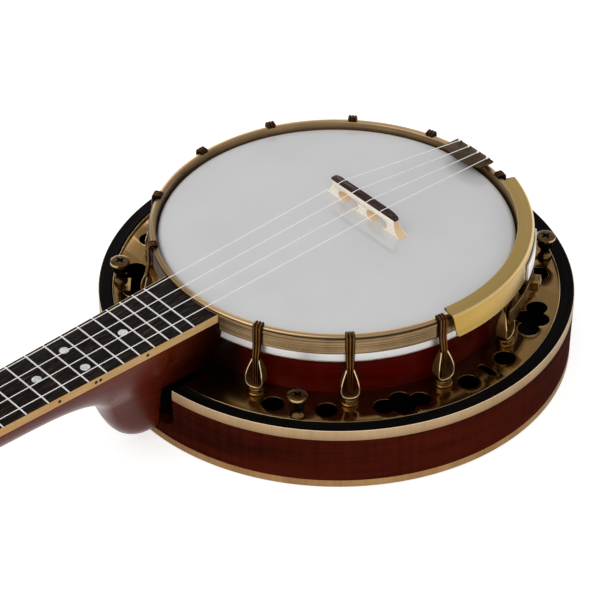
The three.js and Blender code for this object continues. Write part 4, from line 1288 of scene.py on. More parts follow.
@dataclass
class Pot:
    """The wooden rim, the head and the two hoops."""

    rim_inner: float = 92.5
    rim_radius: float = 102.0
    rim_bottom: float = 17.0
    rim_top: float = 71.5
    shoulder: float = 106.2
    shoulder_top: float = 37.4
    head_top: float = 78.0
    head_radius: float = 102.8
    hoop_inner: float = 103.6
    hoop_radius: float = 108.0
    hoop_bottom: float = 69.8
    hoop_top: float = 81.9
    hoop_notch_half: float = 23.45
    hoop_notch_top: float = 76.2
    band_radius: float = 105.4
    band_bottom: float = 62.4

    def painted_light_by_place(self, points: Points) -> Points:
        """Painted light on the hoop by place: a painted highlight at the back, away from the camera, and
        beside the neck's bass edge, and painted shade on the side to the camera's left.

        Args:
            points: Places on the hoop.

        Returns:
            What each place adds to the relief.
        """
        x, y = points[..., 0] / self.hoop_radius, points[..., 1] / self.hoop_radius
        far = 0.5 * np.clip(0.77 * x - 0.64 * y, 0, 1)
        # dull is painted shade on the side to the camera's left.
        dull = 0.45 * np.clip(0.64 * x + 0.77 * y, 0, 1) ** 4
        return far - dull + 0.35 * np.clip((y - 0.86) / 0.1, 0, 1) * (x < 0)

    def hoop(self) -> None:
        """The tension hoop: a flat-sided ring with a groove below its rolled crown, cut down at the neck."""
        inner, outer, low, top = self.hoop_inner, self.hoop_radius, self.hoop_bottom, self.hoop_top
        side = rounded([
            (inner, low), (outer - 0.3, low), (outer - 0.3, top - 3.9), (outer, top - 3.5),
            (outer, top - 1.8), (outer - 0.45, top - 1.5), (outer - 0.45, top - 1.3), (inner, top - 1.3),
        ], [0.3, 0.5, 0.15, 0.15, 0.2, 0.1, 0, 0], 4)
        half = (outer - 0.45 - inner) / 2
        roll = arc(1.0, 4, 176, 25) * (half, 1.25) + (inner + half, top - 1.25)
        section = distinct(np.concatenate([side[side[:, 1] < top - 1.31], roll]))
        radius, height = section.T
        # The crown is painted bright as a highlight; the groove and the foot are painted dark as shade, and
        # the rest a little darker.
        groove = (height > top - 1.7) & (height < top - 0.9) & (radius > outer - 1)
        crown = (height > top - 0.7) & (radius > inner + 0.8)
        foot = (height < low + 0.6) & (radius > outer - 1)
        wear_and_light = np.select([foot, groove, crown], [-0.6, -0.8, 0.6], -0.1)

        def cut(_: Points, height: Points) -> Points:
            """Lifts the lower part of the section to the notch's top edge."""
            return np.maximum(height, self.hoop_notch_top)

        shell = Shell()
        notched_ring(shell, section, self.hoop_notch_half, cut, wear_and_light, self.painted_light_by_place)
        show("rolled_tension_hoop", shell, BRUSHED_HOOP, replaces=["tension_hoop"])

    def build(self) -> None:
        """Builds and dresses the pot."""
        shoulder, step = self.shoulder, self.shoulder_top
        rim = rounded([
            (self.rim_inner, self.rim_bottom), (shoulder, self.rim_bottom), (shoulder, step),
            (self.rim_radius, step), (self.rim_radius, self.rim_top), (self.rim_inner, self.rim_top),
        ], 0.6)
        show_turned("wooden_rim", rim, DARK_RIM, "pot_rim", True)
        dress("tone_ring", SATIN_BRASS)
        top, outer, low = self.head_top, self.head_radius, self.hoop_bottom
        head = [(0, top), (40, top), (85, top), (outer - 3.2, top), (outer - 2.2, top - 0.1),
                (outer - 1.2, top - 0.5), (outer - 0.5, top - 1.2), (outer - 0.1, top - 2.2),
                (outer, top - 3.4), (outer, low), (outer - 0.4, low), (outer - 0.4, top - 3.4),
                (outer - 2.2, top - 1.0), (outer - 4, top - 0.5), (0, top - 0.5)]
        show_turned("film_head", head, HEAD_FILM, "drum_head")
        band = oblong(self.rim_radius + 0.3, self.band_bottom, self.band_radius, low - 0.2)
        show_turned("pale_flesh_band", rounded(band, [0.2, 1.2, 1.2, 0.2], 4), PALE_BAND, "flesh_hoop", True)
        self.hoop()


@dataclass
class BracketHooks:
    """The twelve hooks that draw the hoop down, each with its loop and its collar."""

    bass: tuple[float, ...] = (25.9, 53.4, 81.9, 109.0, 136.6, 166.2)
    treble: tuple[float, ...] = (-27.7, -54.3, -82.3, -108.7, -135.6, -162.2)
    half_width: float = 2.75
    thickness: float = 1.4
    tip_radius: float = 104.4
    strap_radius: float = 109.1
    shank_radius: float = 110.6
    top: float = 82.9
    strap_end: float = 44.0
    mouth: float = 1.6
    loop_radius: float = 5.3
    loop_band: float = 0.32
    loop_bottom: float = 43.7
    loop_top: float = 63.6
    loop_depth: float = 3.4
    collar_radius: float = 5.3
    collar_bottom: float = 39.4
    collar_top: float = 43.6

    def gaps(self) -> list[float]:
        """The angles half way between neighbouring hooks on each side, and at the tail."""
        sides = [[(a + b) / 2 for a, b in zip(side, side[1:])] for side in (self.bass, self.treble)]
        return [*sides[0][:5], *sides[1][:5], (self.bass[-1] + self.treble[-1] + 360) / 2]

    def strap(self) -> Shell:
        """The fluted strap: a section with three ridges carried over the hoop and down into the loop.

        Across the strap, with u from -1 to 1, the face stands 0.2 + 0.5 |cos(1.5 pi u)|^0.7 - 0.2 u^6 high.

        Returns:
            Its surfaces, drawn with +X outwards.
        """
        path = rounded_line([
            (self.tip_radius, self.top - 1.2), (self.tip_radius + 0.5, self.top - 0.1),
            (self.strap_radius - 0.9, self.top + 0.2), (self.strap_radius, self.top - 1.0),
            (self.strap_radius, 70.5), (self.shank_radius, 63.0), (self.shank_radius, self.strap_end),
        ], 0.6, 5)
        length = lengths(path)
        stations = np.unique(np.concatenate([length, np.linspace(0, length[-1], 90)]))
        r, z = stepped(path, stations).T
        u = np.linspace(-1, 1, 37)
        crest = np.abs(np.cos(1.5 * np.pi * u)) ** 0.7
        ridges = 0.2 + 0.5 * crest - 0.2 * np.abs(u) ** 6
        back = -0.5 + 0.2 * u[::4] ** 6
        lower = np.column_stack([u[::4], back])[::-1]
        section = np.concatenate([np.column_stack([u, ridges]), lower])
        # Ridges painted bright as highlights, and the grooves between them painted dark as shade.
        wear_and_light = np.concatenate([1.7 * crest - 1.1, np.full(len(back), -0.3)])
        heights = [self.strap_end, 50, 57, 63, 70.5, 76]
        narrow = np.interp(z, heights, [0.62, 0.66, 0.74, 0.86, 0.94, 1.0])
        tip = np.interp(stations, [0, 0.8, 1.6], [0.8, 1.0, 1.0])
        scale = np.column_stack([self.half_width * narrow * tip, self.thickness * tip])
        # Painted shade where the tip curls into the hoop, and painted light on the lower part inside the
        # loop.
        dark = np.interp(stations, [0, 1.6, 2.8], [-0.6, -0.5, -0.05])
        dark = dark + np.interp(z, [44, 56, 64], [0.8, 0.4, 0.0])
        line = np.stack([r, 0 * r, z], -1)
        shell = Shell()
        shell.grid(swept(line, section, (0, -1, 0), scale), relief=wear_and_light + dark[:, None])
        return shell

    def loop(self) -> Shell:
        """The drop-shaped loop: a deep thin band, shallower towards its narrow top behind the strap.

        Returns:
            Its surfaces, drawn with +X outwards.
        """
        centre = self.loop_bottom + self.loop_radius
        way = arc(1.0, 180, 360, 33)
        low = self.loop_radius * squared_off(way, 0.8) + (0, centre)
        rise = np.linspace(0, 1, 15)[1:]
        flank = self.mouth + (self.loop_radius - self.mouth) * np.cos(0.5 * np.pi * rise) ** 1.1
        right = np.column_stack([flank, centre + (self.loop_top - centre) * rise])
        outer = wound(np.concatenate([low, right, right[::-1] * (-1, 1)]), False)
        inner = offset(outer, 2 * self.loop_band)

        def stood(points: Points) -> Points:
            """Stands the loop square to the pot's radius, its front edge drawn back towards the top.

            Args:
                points: The points of the flat loop.

            Returns:
                The points of the standing one.
            """
            height, depth = points[..., 1], points[..., 2]
            front = np.interp(height, [52.0, 58.0, self.loop_top], [1.0, 0.55, -0.1])
            back = np.interp(height, [52.0, 58.0, self.loop_top], [1.0, 0.75, 0.4])
            depth = depth * np.where(depth > 0, front, back)
            return np.stack([depth + self.shank_radius, points[..., 0], height], -1)

        shell = Shell()
        # The front edge is painted bright as a highlight, and the walls a little brighter.
        shell.plate(outer, [inner[::-1]], -self.loop_depth, self.loop_depth, 0.3, stood, 1.0, 0.12)
        return shell

    def collar(self) -> Shell:
        """The collar on the flange and the nut below it.

        Returns:
            Their surfaces, drawn with +X outwards.
        """
        top, low, r = self.collar_top, self.collar_bottom, self.collar_radius
        shift = np.array([self.shank_radius, 0, 0])
        shell = Shell()
        shapes = [
            ([(0, low), (r - 0.2, low), (r, low + 0.25), (r, low + 0.8), (r - 0.3, low + 1.0),
              (r - 0.3, top - 0.7), (r - 0.5, top - 0.2), (r - 1.2, top), (0, top)], 36),
            ([(0, 35.0), (2.9, 35.0), (2.9, 37.4), (1.2, 37.4), (1.2, 39.6), (0, 39.6)], 6),
        ]
        for profile, count in shapes:
            shell.turn(profile, lambda points: points + shift, count)
        return shell

    def build(self) -> None:
        """Builds one hook and repeats it round the pot."""
        parts = [("strap", self.strap(), DARK_BRONZE), ("loop", self.loop(), LOOP_BRONZE),
                 ("collar", self.collar(), AGED_BRASS)]
        for number, angle in enumerate([*self.bass, *self.treble], 1):
            for part, shell, finish in parts:
                nodes = [f"hook_{number}"] if part == "strap" else []
                placed = shell.copied(lambda points, angle=angle: about_pot(points, angle))
                show(f"hook_{part}_{number}", placed, finish, replaces=nodes)


@dataclass
class ResonatorScrews:
    """The four screws that hold the resonator, and their lugs."""

    angles: tuple[float, ...] = (39.7, 151.5, -149.0, -40.0)
    circle_radius: float = 125.0
    foot: float = 39.4
    head_radius: float = 5.8
    top: float = 54.7
    slot_half: float = 0.65
    slot_reach: float = 2.8
    slot_depth: float = 1.6

    def head_height(self, radius: Points, turn: Points) -> tuple[Points, Points]:
        """The flat top with its cross: the top less a depth wherever a point lies in one of two slots.

        Args:
            radius: Distances from the screw's axis.
            turn: Angles about it.

        Returns:
            The heights, and how deep in the cross each point lies, from 0 to 1.
        """
        x, y = radius * np.cos(turn), radius * np.sin(turn)
        dome = self.top - 0.5 * (radius / self.head_radius) ** 8

        def ramp(distance: Points, half: float) -> Points:
            """Goes from 1 inside a half width to 0 outside it."""
            return np.clip((half + 0.14 - distance) / 0.28, 0, 1)

        half, reach, x, y = self.slot_half, self.slot_reach, np.abs(x), np.abs(y)
        slot = np.maximum(ramp(x, half) * ramp(y, reach), ramp(y, half) * ramp(x, reach))
        return dome - self.slot_depth * slot, slot

    def screw(self) -> Shell:
        """The screw on its own axis: a turned body and a finely meshed head.

        Returns:
            Its surfaces.
        """
        below = rounded_line([
            (0, 28.6), (2.0, 28.6), (2.0, self.foot), (4.1, self.foot), (4.2, self.foot + 1.4), (3.0, 42.6),
            (2.6, 44.4), (2.8, 46.4), (3.9, 47.0), (4.3, 47.8), (4.3, 51.9), (self.head_radius - 0.5, 52.2),
            (self.head_radius, 52.8), (self.head_radius, 53.7),
        ], 0.28, 3)
        turn = np.linspace(0, 2 * np.pi, 96, endpoint=False)
        radius, height = below.T
        body = polar(radius[:, None], turn, height[:, None])
        knurl = np.where((height > 47.5) & (height < 51.7), 0.22, 0.0)[:, None] * np.cos(24 * turn)[None]
        body[..., :2] *= (1 + knurl / np.maximum(radius[:, None], 1))[..., None]
        rings = np.concatenate([np.linspace(5.75, 3.2, 10), np.linspace(3.05, 0, 26)])
        ring, way = np.meshgrid(rings, turn, indexing="ij")
        level, slot = self.head_height(ring, way)
        head = polar(ring, way, level)
        # Painted light: the head's rim painted bright as a highlight, the cross and the knurled waist under
        # the head painted dark as shade.
        waist = (height > 43.6) & (height < 52.15)
        threads = np.select([waist, height > 52.2], [-1.0, 0.7], 0.2)[:, None]
        wear_and_light = np.concatenate([threads + 0 * turn[None], np.where(ring > 5.5, 0.7, -slot)])
        shell = Shell()
        shell.grid(np.concatenate([body, head]), capped=False, relief=wear_and_light)
        return shell

    def build(self) -> None:
        """Builds the screws and dresses the lugs."""
        screw = self.screw()
        for number, angle in enumerate(self.angles, 1):
            centre = about_pot(np.zeros((1, 3)), angle, self.circle_radius)
            show(f"dished_screw_{number}", screw.copied(lambda p, c=centre: p + c), SCREW_BRASS,
                 f"resonator_screw_{number}", [f"resonator_screw_{number}"])
            dress(f"resonator_lug_{number}", SATIN_BRASS)


@dataclass
class NeckLines:
    """The lines that the fingerboard and the neck share."""

    reference: float = 110.0
    half_there: float = 23.3
    top_there: float = 80.3
    narrowing: float = 0.0241
    fall: float = 0.05
    board_thickness: float = 5.2
    nut_y: float = 381.6
    nut_back: float = 386.6
    board_start: float = 108.3

    def half(self, y: Points) -> Points:
        """Half the board's width, which narrows evenly towards the nut."""
        return self.half_there - self.narrowing * (np.asarray(y) - self.reference)

    def top(self, y: Points) -> Points:
        """The board's top, which falls evenly towards the nut."""
        return self.top_there - self.fall * (np.asarray(y) - self.reference)

    def wood(self, y: Points) -> Points:
        """The neck's flat face below the board."""
        return self.top(y) - self.board_thickness - 0.1

    def head_face(self) -> float:
        """The height at which the headstock's face starts behind the nut."""
        return float(self.top(self.nut_back)) - self.board_thickness - 0.3

    def leaned(self, points: Points) -> Points:
        """Heights above the board's top plane turned into heights above the table.

        Args:
            points: Points whose heights count from the board's top plane.

        Returns:
            The points with heights above the table.
        """
        moved = points.copy()
        moved[..., 2] += self.top(points[..., 1])
        return moved


@dataclass
class Fingerboard:
    """The board with its bindings, frets, dots and nut."""

    lines: NeckLines
    binding: float = 0.4
    scale: float = 402.0
    scale_start: float = -20.4
    frets: int = 18
    fret_half: float = 0.44
    fret_height: float = 0.7
    dot_frets: tuple[int, ...] = (3, 5, 7, 10, 12, 15)
    double_fret: int = 12
    dot_radius: float = 2.75
    pair_half: float = 9.6
    side_dot_radius: float = 1.0
    side_dot_drop: float = 2.4
    side_pair_half: float = 1.5
    nut_rise: float = 1.7
    nut_spacing: float = 9.6

    def fret_y(self, number: float) -> float:
        """Where a fret stands: the scale's share 2^(-n/12) from the bridge."""
        return self.scale_start + self.scale * 2 ** (-number / 12)

    def strip(self, inner: float, outer: float, finish: Finish, name: str, node: str) -> None:
        """A slab between two lines along the board's edges, hollowed to the hoop at its near end.

        Args:
            inner: The first line: its sign gives the side, and its size less 1 how far it is drawn in.
            outer: The second line in the same way.
            finish: The finish.
            name: The piece's name.
            node: The CAD node that it replaces.
        """
        lines = self.lines
        far = lines.nut_y - 0.2

        def edge(place: float, y: float) -> float:
            """A line's X: the board's edge on its side, drawn in by its inset."""
            inset = abs(place) - 1
            return math.copysign(float(lines.half(y)) - inset, place)

        start = lines.board_start
        across = np.linspace(edge(inner, start), edge(outer, start), 24)
        near = np.column_stack([across, np.sqrt(start**2 - across**2)])
        outline = np.concatenate([[(edge(inner, far), far)], near, [(edge(outer, far), far)]])
        shell = Shell()
        shell.plate(outline, [], -lines.board_thickness, 0.0, 0.2, lines.leaned)
        show(name, shell, finish, replaces=[node])

    def fret_wires(self) -> None:
        """Frets: each is half an ellipse, h sqrt(1 - u^2) high across its width, and lower at its ends."""
        shell = Shell()
        turn = np.linspace(0, np.pi, 9)
        crown = np.column_stack([np.cos(turn) * self.fret_half, np.sin(turn) * self.fret_height])
        section = np.concatenate([crown, [(-self.fret_half, -0.5), (self.fret_half, -0.5)]])
        for number in range(1, self.frets + 1):
            y = self.fret_y(number)
            half = float(self.lines.half(y)) - self.binding
            path = np.column_stack([np.linspace(-half, half, 9), np.full(9, y), np.zeros(9)])
            drawn = np.ones((9, 2))
            drawn[[0, -1], 1] = 0.35
            shell.grid(self.lines.leaned(swept(path, section, (0, -1, 0), drawn)))
        show("fret_wires", shell, FRET_SILVER)

    def dots(self) -> None:
        """Position dots on the face and on the bass side of the binding, in pairs at the double fret."""
        face, side = Shell(), Shell()
        disc = [(0, -0.4), (self.dot_radius, -0.4), (self.dot_radius, 0.04), (0, 0.07)]
        spot = [(0, -0.3), (self.side_dot_radius, -0.3), (self.side_dot_radius, 0.03), (0, 0.05)]
        for fret in self.dot_frets:
            middle = (self.fret_y(fret) + self.fret_y(fret - 1)) / 2
            for sign in ((-1, 1) if fret == self.double_fret else (0,)):
                centre = np.array([sign * self.pair_half, middle, 0])
                face.turn(disc, lambda points, centre=centre: self.lines.leaned(points + centre), 32)
                y = middle + sign * self.side_pair_half
                edge = -float(self.lines.half(y))

                def beside(points: Points, edge: float = edge, y: float = y) -> Points:
                    """Turns a small disc to face away from the board's bass edge."""
                    place = [edge - points[..., 2], y + points[..., 0], points[..., 1] - self.side_dot_drop]
                    return self.lines.leaned(np.stack(place, -1))

                side.turn(spot, beside, 20)
        show("face_dots", face, SHELL_DOT)
        show("side_dots", side, DARK_DOT)

    def nut(self) -> None:
        """The nut: a bar with a rounded top and four slots for the strings."""
        lines = self.lines
        half = float(lines.half(lines.nut_y))
        top = float(lines.top(lines.nut_y)) + self.nut_rise
        bottom = float(lines.wood(lines.nut_y)) + 0.3
        slots = string_slots(self.nut_spacing, top, 0.7, 1.2)
        corners = [(-half, bottom), (half, bottom), (half, top), *slots, (-half, top)]
        radii = [0.3, 0.3, 0.8, *[0.2] * len(slots), 0.8]
        shell = Shell()
        shell.plate(rounded(corners, radii), [], -lines.nut_back, -lines.nut_y, 0.5, upright)
        show("slotted_nut", shell, BONE_NUT, replaces=["nut"])

    def build(self) -> None:
        """Builds and dresses the board."""
        inset = 1 + self.binding
        self.strip(-inset, inset, ROSEWOOD, "rosewood_fingerboard", "fingerboard")
        self.strip(-1.0, -inset, BOARD_BINDING, "bass_board_binding", "fingerboard_binding_bass")
        self.strip(inset, 1.0, BOARD_BINDING, "treble_board_binding", "fingerboard_binding_treble")
        self.fret_wires()
        self.dots()
        self.nut()


@dataclass
class Neck:
    """The neck from the pot to its headstock, with the heel."""

    lines: NeckLines
    tilt: float = 12.0
    head_length: float = 104.0
    head_half: float = 27.0
    head_thickness: float = 12.5
    overlay: float = 1.5
    hoop_clear: float = 105.8
    rim_clear: float = 102.4
    hoop_clear_from: float = 62.1
    shaft_depth: float = 31.9
    root_half: float = 13.5
    root_end: float = 138.6
    heel_round: float = 11.0
    heel_fade_from: float = 176.0
    heel_fade: float = 40.0
    post_bore: float = 3.4

    def head_place(self, points: Points) -> Points:
        """Carries points from the tilted headstock's own frame into the instrument's.

        Args:
            points: Points with Y along the headstock and Z square to its face.

        Returns:
            The points in the instrument's frame.
        """
        turn = math.radians(-self.tilt)
        y, z = points[..., 1], points[..., 2]
        return np.stack([
            points[..., 0],
            self.lines.nut_back + math.cos(turn) * y - math.sin(turn) * z,
            self.lines.head_face() + math.sin(turn) * y + math.cos(turn) * z,
        ], -1)

    def belly(self) -> Points:
        """The lower edge seen from the side: the heel's foot, its front and the long sweep to the nut.

        Returns:
            Rows of a place along the neck and a height.
        """
        root = np.array([(102.0, 16.2), (112, 16.2), (124, 16.2), (133, 16.2), (138.55, 16.2)])
        sweep = eased([
            (138.62, 4.2), (142.0, 4.0), (147.0, 4.6), (153.0, 6.9), (159.0, 11.0), (164.3, 16.8),
            (168.3, 24.0), (171.0, 31.6), (174.6, 38.4), (180.5, 43.6), (190.0, 47.4), (200.0, 49.6),
            (212.0, 50.9), (226.0, 51.0), (240.0, 50.6), (270.0, 49.4), (301.0, 48.4), (350.0, 47.8),
            (378.0, 47.4), (392.0, 47.1), (403.0, 46.6),
        ], 110)
        return np.concatenate([root, sweep])

    def half_width(self, y: Points, z: Points, top: Points, bottom: Points) -> Points:
        """Half the neck's width at a place on its side view.

        The shaft gives half sqrt(1 - (d / D)^2) at a depth d below its flat face, and the heel a width that
        grows from its foot upwards and closes round its edge; the wider of the two wins, with a soft change.

        Args:
            y: Places along the neck.
            z: Heights.
            top: The flat face's height at each place.
            bottom: The lower edge's height at each place.

        Returns:
            The half widths.
        """
        lines = self.lines
        half = lines.half(y)
        depth = np.minimum(self.shaft_depth, top - bottom)
        shaft = half * np.sqrt(np.clip(1 - ((top - z) / depth) ** 2, 0, 1))
        height = [4, 6.5, 11, 17, 24, 31, 37, 43, 50, 60, 75]
        width = [7.2, 8.2, 9.2, 10.0, 10.7, 11.3, 12.0, 13.0, 14.5, 15.0, 15.0]
        heel = np.interp(z, height, width)
        heel = np.where(y < self.root_end, np.minimum(heel, self.root_half), heel)
        above = np.clip((z - bottom) / self.heel_round, 0, 1)
        heel = heel * np.sqrt(np.clip(1 - (1 - above) ** 2, 0, 1))
        fade = np.clip((y - self.heel_fade_from) / self.heel_fade, 0, 1)
        heel = heel * (1 - fade)
        return (shaft**8 + heel**8) ** 0.125

    def handle(self) -> None:
        """The shaft and heel as one lofted surface.

        Each ring's points lie at a depth D cos t below the flat face, for t from -90 to 90 degrees, and as
        far out as the neck is wide there. Points nearer the pot than its clearance are moved out to it.
        """
        line, lines = self.belly(), self.lines
        y0, bottom = line[:, 0][:, None], line[:, 1][:, None]
        beyond = np.maximum(y0 - lines.nut_back, 0)
        tilted = lines.head_face() - 0.3 - beyond * math.tan(math.radians(self.tilt))
        top = np.where(beyond > 0, tilted, lines.wood(y0))
        turn = np.linspace(-np.pi / 2, np.pi / 2, 49)[None]
        z = top - (top - bottom) * np.cos(turn)
        x = np.sign(turn) * self.half_width(y0 + 0 * z, z, top + 0 * z, bottom + 0 * z)
        clear = np.where(z > self.hoop_clear_from, self.hoop_clear, self.rim_clear)
        y = np.maximum(y0, np.sqrt(clear**2 - x**2))
        outside = np.sqrt(np.maximum((self.root_end + 0.1)**2 - x**2, 0))
        y = np.where((y0 > self.root_end) & (y < outside), outside, y)
        shell = Shell()
        shell.grid(np.stack([x, y, z], -1))
        show("neck_and_heel", shell, RED_NECK, replaces=["neck"])

    def headstock(self) -> None:
        """The headstock's wood and its black face, both bored for the posts."""
        outline = self.head_outline()
        holes = [circle(self.post_bore, 24, place) for place in self.post_places()]
        wood, face = Shell(), Shell()
        wood.plate(outline, holes, -self.head_thickness, 0.0, 1.0, self.head_place)
        show("headstock_wood", wood, RED_NECK)
        face.plate(outline, holes, 0.0, 0.3 + self.overlay, 0.4, self.head_place)
        show("headstock_face", face, BLACK_FACE, replaces=["headstock_overlay"])

    def post_places(self) -> list[tuple[float, float]]:
        """The four tuner posts in the headstock's frame, from the bass side round."""
        return [(-14.5, 30.0), (-14.5, 68.0), (14.5, 68.0), (14.5, 30.0)]

    def head_outline(self) -> Points:
        """The outline: three cubic curves on each side, in shares of the half width and the length.

        Returns:
            The closed outline.
        """
        shares = np.array([
            [[0.66, 0], [0.68, 0.12], [1, 0.1], [1, 0.26]],
            [[1, 0.26], [1, 0.5], [0.86, 0.6], [0.93, 0.9]],
            [[0.93, 0.9], [0.95, 0.99], [0.5, 0.93], [0, 1]],
        ])
        t = np.linspace(0, 1, 17)[:-1, None]
        weights = [(1 - t) ** 3, 3 * t * (1 - t) ** 2, 3 * t**2 * (1 - t), t**3]
        right = np.concatenate([sum(w * p for w, p in zip(weights, curve)) for curve in shares])
        right = np.concatenate([right, [[0, 1]]]) * (self.head_half, self.head_length)
        return np.concatenate([right, right[-2::-1] * (-1, 1)])

    def build(self) -> None:
        """Builds and dresses the neck."""
        self.handle()
        self.headstock()


@dataclass
class Bridge:
    """The arched maple bridge with its dark cap."""

    front: float = -19.4
    base: float = 78.05
    base_top: float = 88.3
    cap_top: float = 91.8
    half: float = 32.5
    crown_half: float = 27.0
    cap_half: float = 28.0
    foot_depth: float = 6.6
    crown_depth: float = 3.1
    arch_centre: float = 12.4
    arch_half: float = 8.9
    arch_height: float = 3.4
    arch_lift: float = 3.7
    mouth_half: float = 3.7
    spacing: float = 12.2
    knee: float = 2.4
    shoulder: float = 8.0
    cap_side: float = 0.9

    def wedge(self, points: Points) -> Points:
        """Stands the outline up and thins it: its depth falls evenly from the feet to the crown.

        Args:
            points: Outline points whose third number is 0 in front and 1 behind.

        Returns:
            The points in their place.
        """
        height = (points[..., 1] - self.base) / (self.base_top - self.base)
        depth = self.foot_depth + (self.crown_depth - self.foot_depth) * np.clip(height, 0, 1)
        return np.stack([points[..., 0], self.front - points[..., 2] * depth, points[..., 1]], -1)

    def arch(self, centre: float) -> Points:
        """One arch of the lower edge: a mouth that opens into a flat oval.

        Args:
            centre: The arch's middle.

        Returns:
            The arch's points from left to right.
        """
        t = math.degrees(math.acos(self.mouth_half / self.arch_half))
        turn = np.radians(np.linspace(180 + t, -t, 33))
        x = centre + self.arch_half * squared_off(np.cos(turn), 0.7)
        z = self.base + self.arch_lift + self.arch_height * squared_off(np.sin(turn), 0.8)
        return np.concatenate([
            [(centre - self.mouth_half, self.base)], np.column_stack([x, z]),
            [(centre + self.mouth_half, self.base)],
        ])

    def build(self) -> None:
        """Builds and dresses the bridge."""
        foot = np.array([self.half, self.base])
        knee = np.array([self.crown_half, self.base + self.knee])
        crown = np.array([self.crown_half, self.base_top])
        side = bent(foot, knee, crown, np.linspace(0, 1, 9)[:, None])
        arches = [self.arch(-self.arch_centre), self.arch(self.arch_centre)]
        outline = np.concatenate([side[::-1] * (-1, 1), *arches, side])
        shell = Shell()
        # The walls, in the arches and at the ends, are painted darker: painted shade with the end grain's
        # darker tone.
        shell.plate(outline, [], 0.0, 1.0, 0.06, self.wedge, walls=-0.75)
        show("maple_bridge_base", shell, BRIDGE_MAPLE, replaces=["bridge_base"])
        turn = np.linspace(0, np.pi / 2, 9)[1:-1]
        half, low, high = self.cap_half, self.base_top, self.base_top + self.cap_side
        inner, rise = half - self.shoulder, self.cap_top - high
        right = np.column_stack([inner + self.shoulder * np.cos(turn), high + rise * np.sin(turn)])
        corners = [(-half, low), (half, low), (half, high), *right.tolist(),
                   *string_slots(self.spacing, self.cap_top, 0.75, 0.9),
                   *(right[::-1] * (-1, 1)).tolist(), (-half, high)]
        cap = Shell()
        cap.plate(rounded(corners, 0.12, 2), [], -self.front, self.crown_depth - self.front, 0.3, upright)
        show("ebony_bridge_cap", cap, EBONY_CAP, replaces=["bridge_cap"])


@dataclass
class Strings:
    """The four nylon strings, from the tailpiece to their turns on the posts.

    Each station gives the strings' spacing, the place along the neck and the height: at the tail's rear and
    front edge, both edges of the bridge's cap, and both edges of the nut.
    """

    neck: Neck
    radius: float = 0.24
    stations: tuple[tuple[float, float, float], ...] = (
        (8.0, -105.9, 86.1), (8.1, -104.0, 86.25), (12.2, -20.9, 91.75), (12.2, -19.9, 91.75),
        (9.6, 381.6, 67.95), (9.6, 386.4, 67.6),
    )
    wrap_radius: float = 3.6
    wrap_turns: float = 2.5
    wrap_top: float = 7.4
    wrap_pitch: float = 0.95

    def route(self, share: float, post: tuple[float, float]) -> Points:
        """One string's path: straight from station to station, then falling turns round its post.

        Args:
            share: The string's place across, in spacings.
            post: Its post's place in the headstock's frame.

        Returns:
            The path's points.
        """
        side = math.copysign(1.0, post[0])
        turns = np.linspace(0, self.wrap_turns, 61)
        ring = polar(self.wrap_radius, np.pi * (1 - 2 * turns), self.wrap_top - self.wrap_pitch * turns)
        wrap = self.neck.head_place(ring * (side, 1, 1) + (*post, 0))
        straight = np.array([(share * spacing, y, z) for spacing, y, z in self.stations])
        return np.concatenate([straight, wrap])

    def build(self) -> None:
        """Builds and dresses the strings, each with a small knot at the tail."""
        spacing = self.stations[0][0]
        knot = np.array([(0, -1.1), (0.8, -0.8), (1.1, 0), (0.8, 0.8), (0, 1.1)]) * 0.75
        for number, (share, post) in enumerate(zip(STRING_SHARES, self.neck.post_places()), 1):
            shell = Shell()
            shell.tube(self.route(share, post), self.radius, 10)
            centre = np.array([share * spacing, -105.7, 86.2])
            shell.turn(knot, lambda points, centre=centre: points + centre, 12)
            show(f"nylon_string_{number}", shell, STRING_NYLON, replaces=[f"string_{number}"])


@dataclass
class Tailpiece:
    """The bronze plate at the tail with its leg, nut and the rod through the pot."""

    half: float = 15.6
    rear: float = -107.6
    front: float = -98.2
    crown: float = -93.6
    bottom: float = 83.7
    top: float = 85.3
    leg_bottom: float = 42.0
    leg_y: float = -109.1
    leg_thickness: float = 1.5
    catch_half: float = 0.8
    rod_height: float = 47.5

    def build(self) -> None:
        """Builds and dresses the tail's hardware."""
        across = np.linspace(1, -1, 21)
        reach = self.crown - self.front
        bow = np.column_stack([across * self.half, self.front + reach * (1 - across**2)])
        outline = np.concatenate([[(-self.half, self.rear), (self.half, self.rear)], bow])
        shell = Shell()
        shell.plate(outline, [], self.bottom, self.top, 0.35)
        y, top = self.leg_y, self.top
        path = rounded_line([
            (self.rear + 2.2, top - 0.9), (y + 0.1, top - 1.6), (y, top - 4), (y, self.leg_bottom),
        ], 1.2, 5)
        line = np.stack([0 * path[:, 0], path[:, 0], path[:, 1]], -1)
        width = np.interp(path[:, 1], [42, 60, 80, 85], [12, 12, 13, 16])
        scale = np.column_stack([width, np.full(len(path), self.leg_thickness)])
        shell.grid(swept(line, rounded(oblong(-0.5, -0.5, 0.5, 0.5), 0.06), (1, 0, 0), scale))
        half, rear = self.catch_half, self.rear
        for x in (-12.0, -4.0, 4.0, 12.0):
            shell.block((x - half, rear + 0.1, top - 0.2), (x + half, rear + 1.2, top + 0.4), 0.2)
        show("tailpiece_plate", shell, TAIL_BRONZE, replaces=["tailpiece"])

        def lengthwise(points: Points) -> Points:
            """Lays a piece turned about Z along the rod, its height running towards the neck."""
            return np.stack([points[..., 0], points[..., 2], points[..., 1] + self.rod_height], -1)

        rod, nut = Shell(), Shell()
        bar = [(0, -113.4), (3.0, -113.4), (3.2, -113.1), (3.2, 116.8), (0, 117)]
        rod.turn(bar, lengthwise, 32)
        show("coordinator_bar", rod, PALE_BAND, replaces=["coordinator_rod"])
        washer = [(0, -110.0), (5.0, -110.0), (5.0, -110.9), (4.2, -111.2), (0, -111.2)]
        nut.turn(washer, lengthwise, 32)
        hexagon = [(0, -111.1), (4.6, -111.1), (4.6, -113.6), (4.2, -114.2), (3.0, -115.2), (0, -115.6)]
        nut.turn(hexagon, lengthwise, 6)
        show("tail_nut", nut, DARK_BRONZE, replaces=["tailpiece_bolt"])


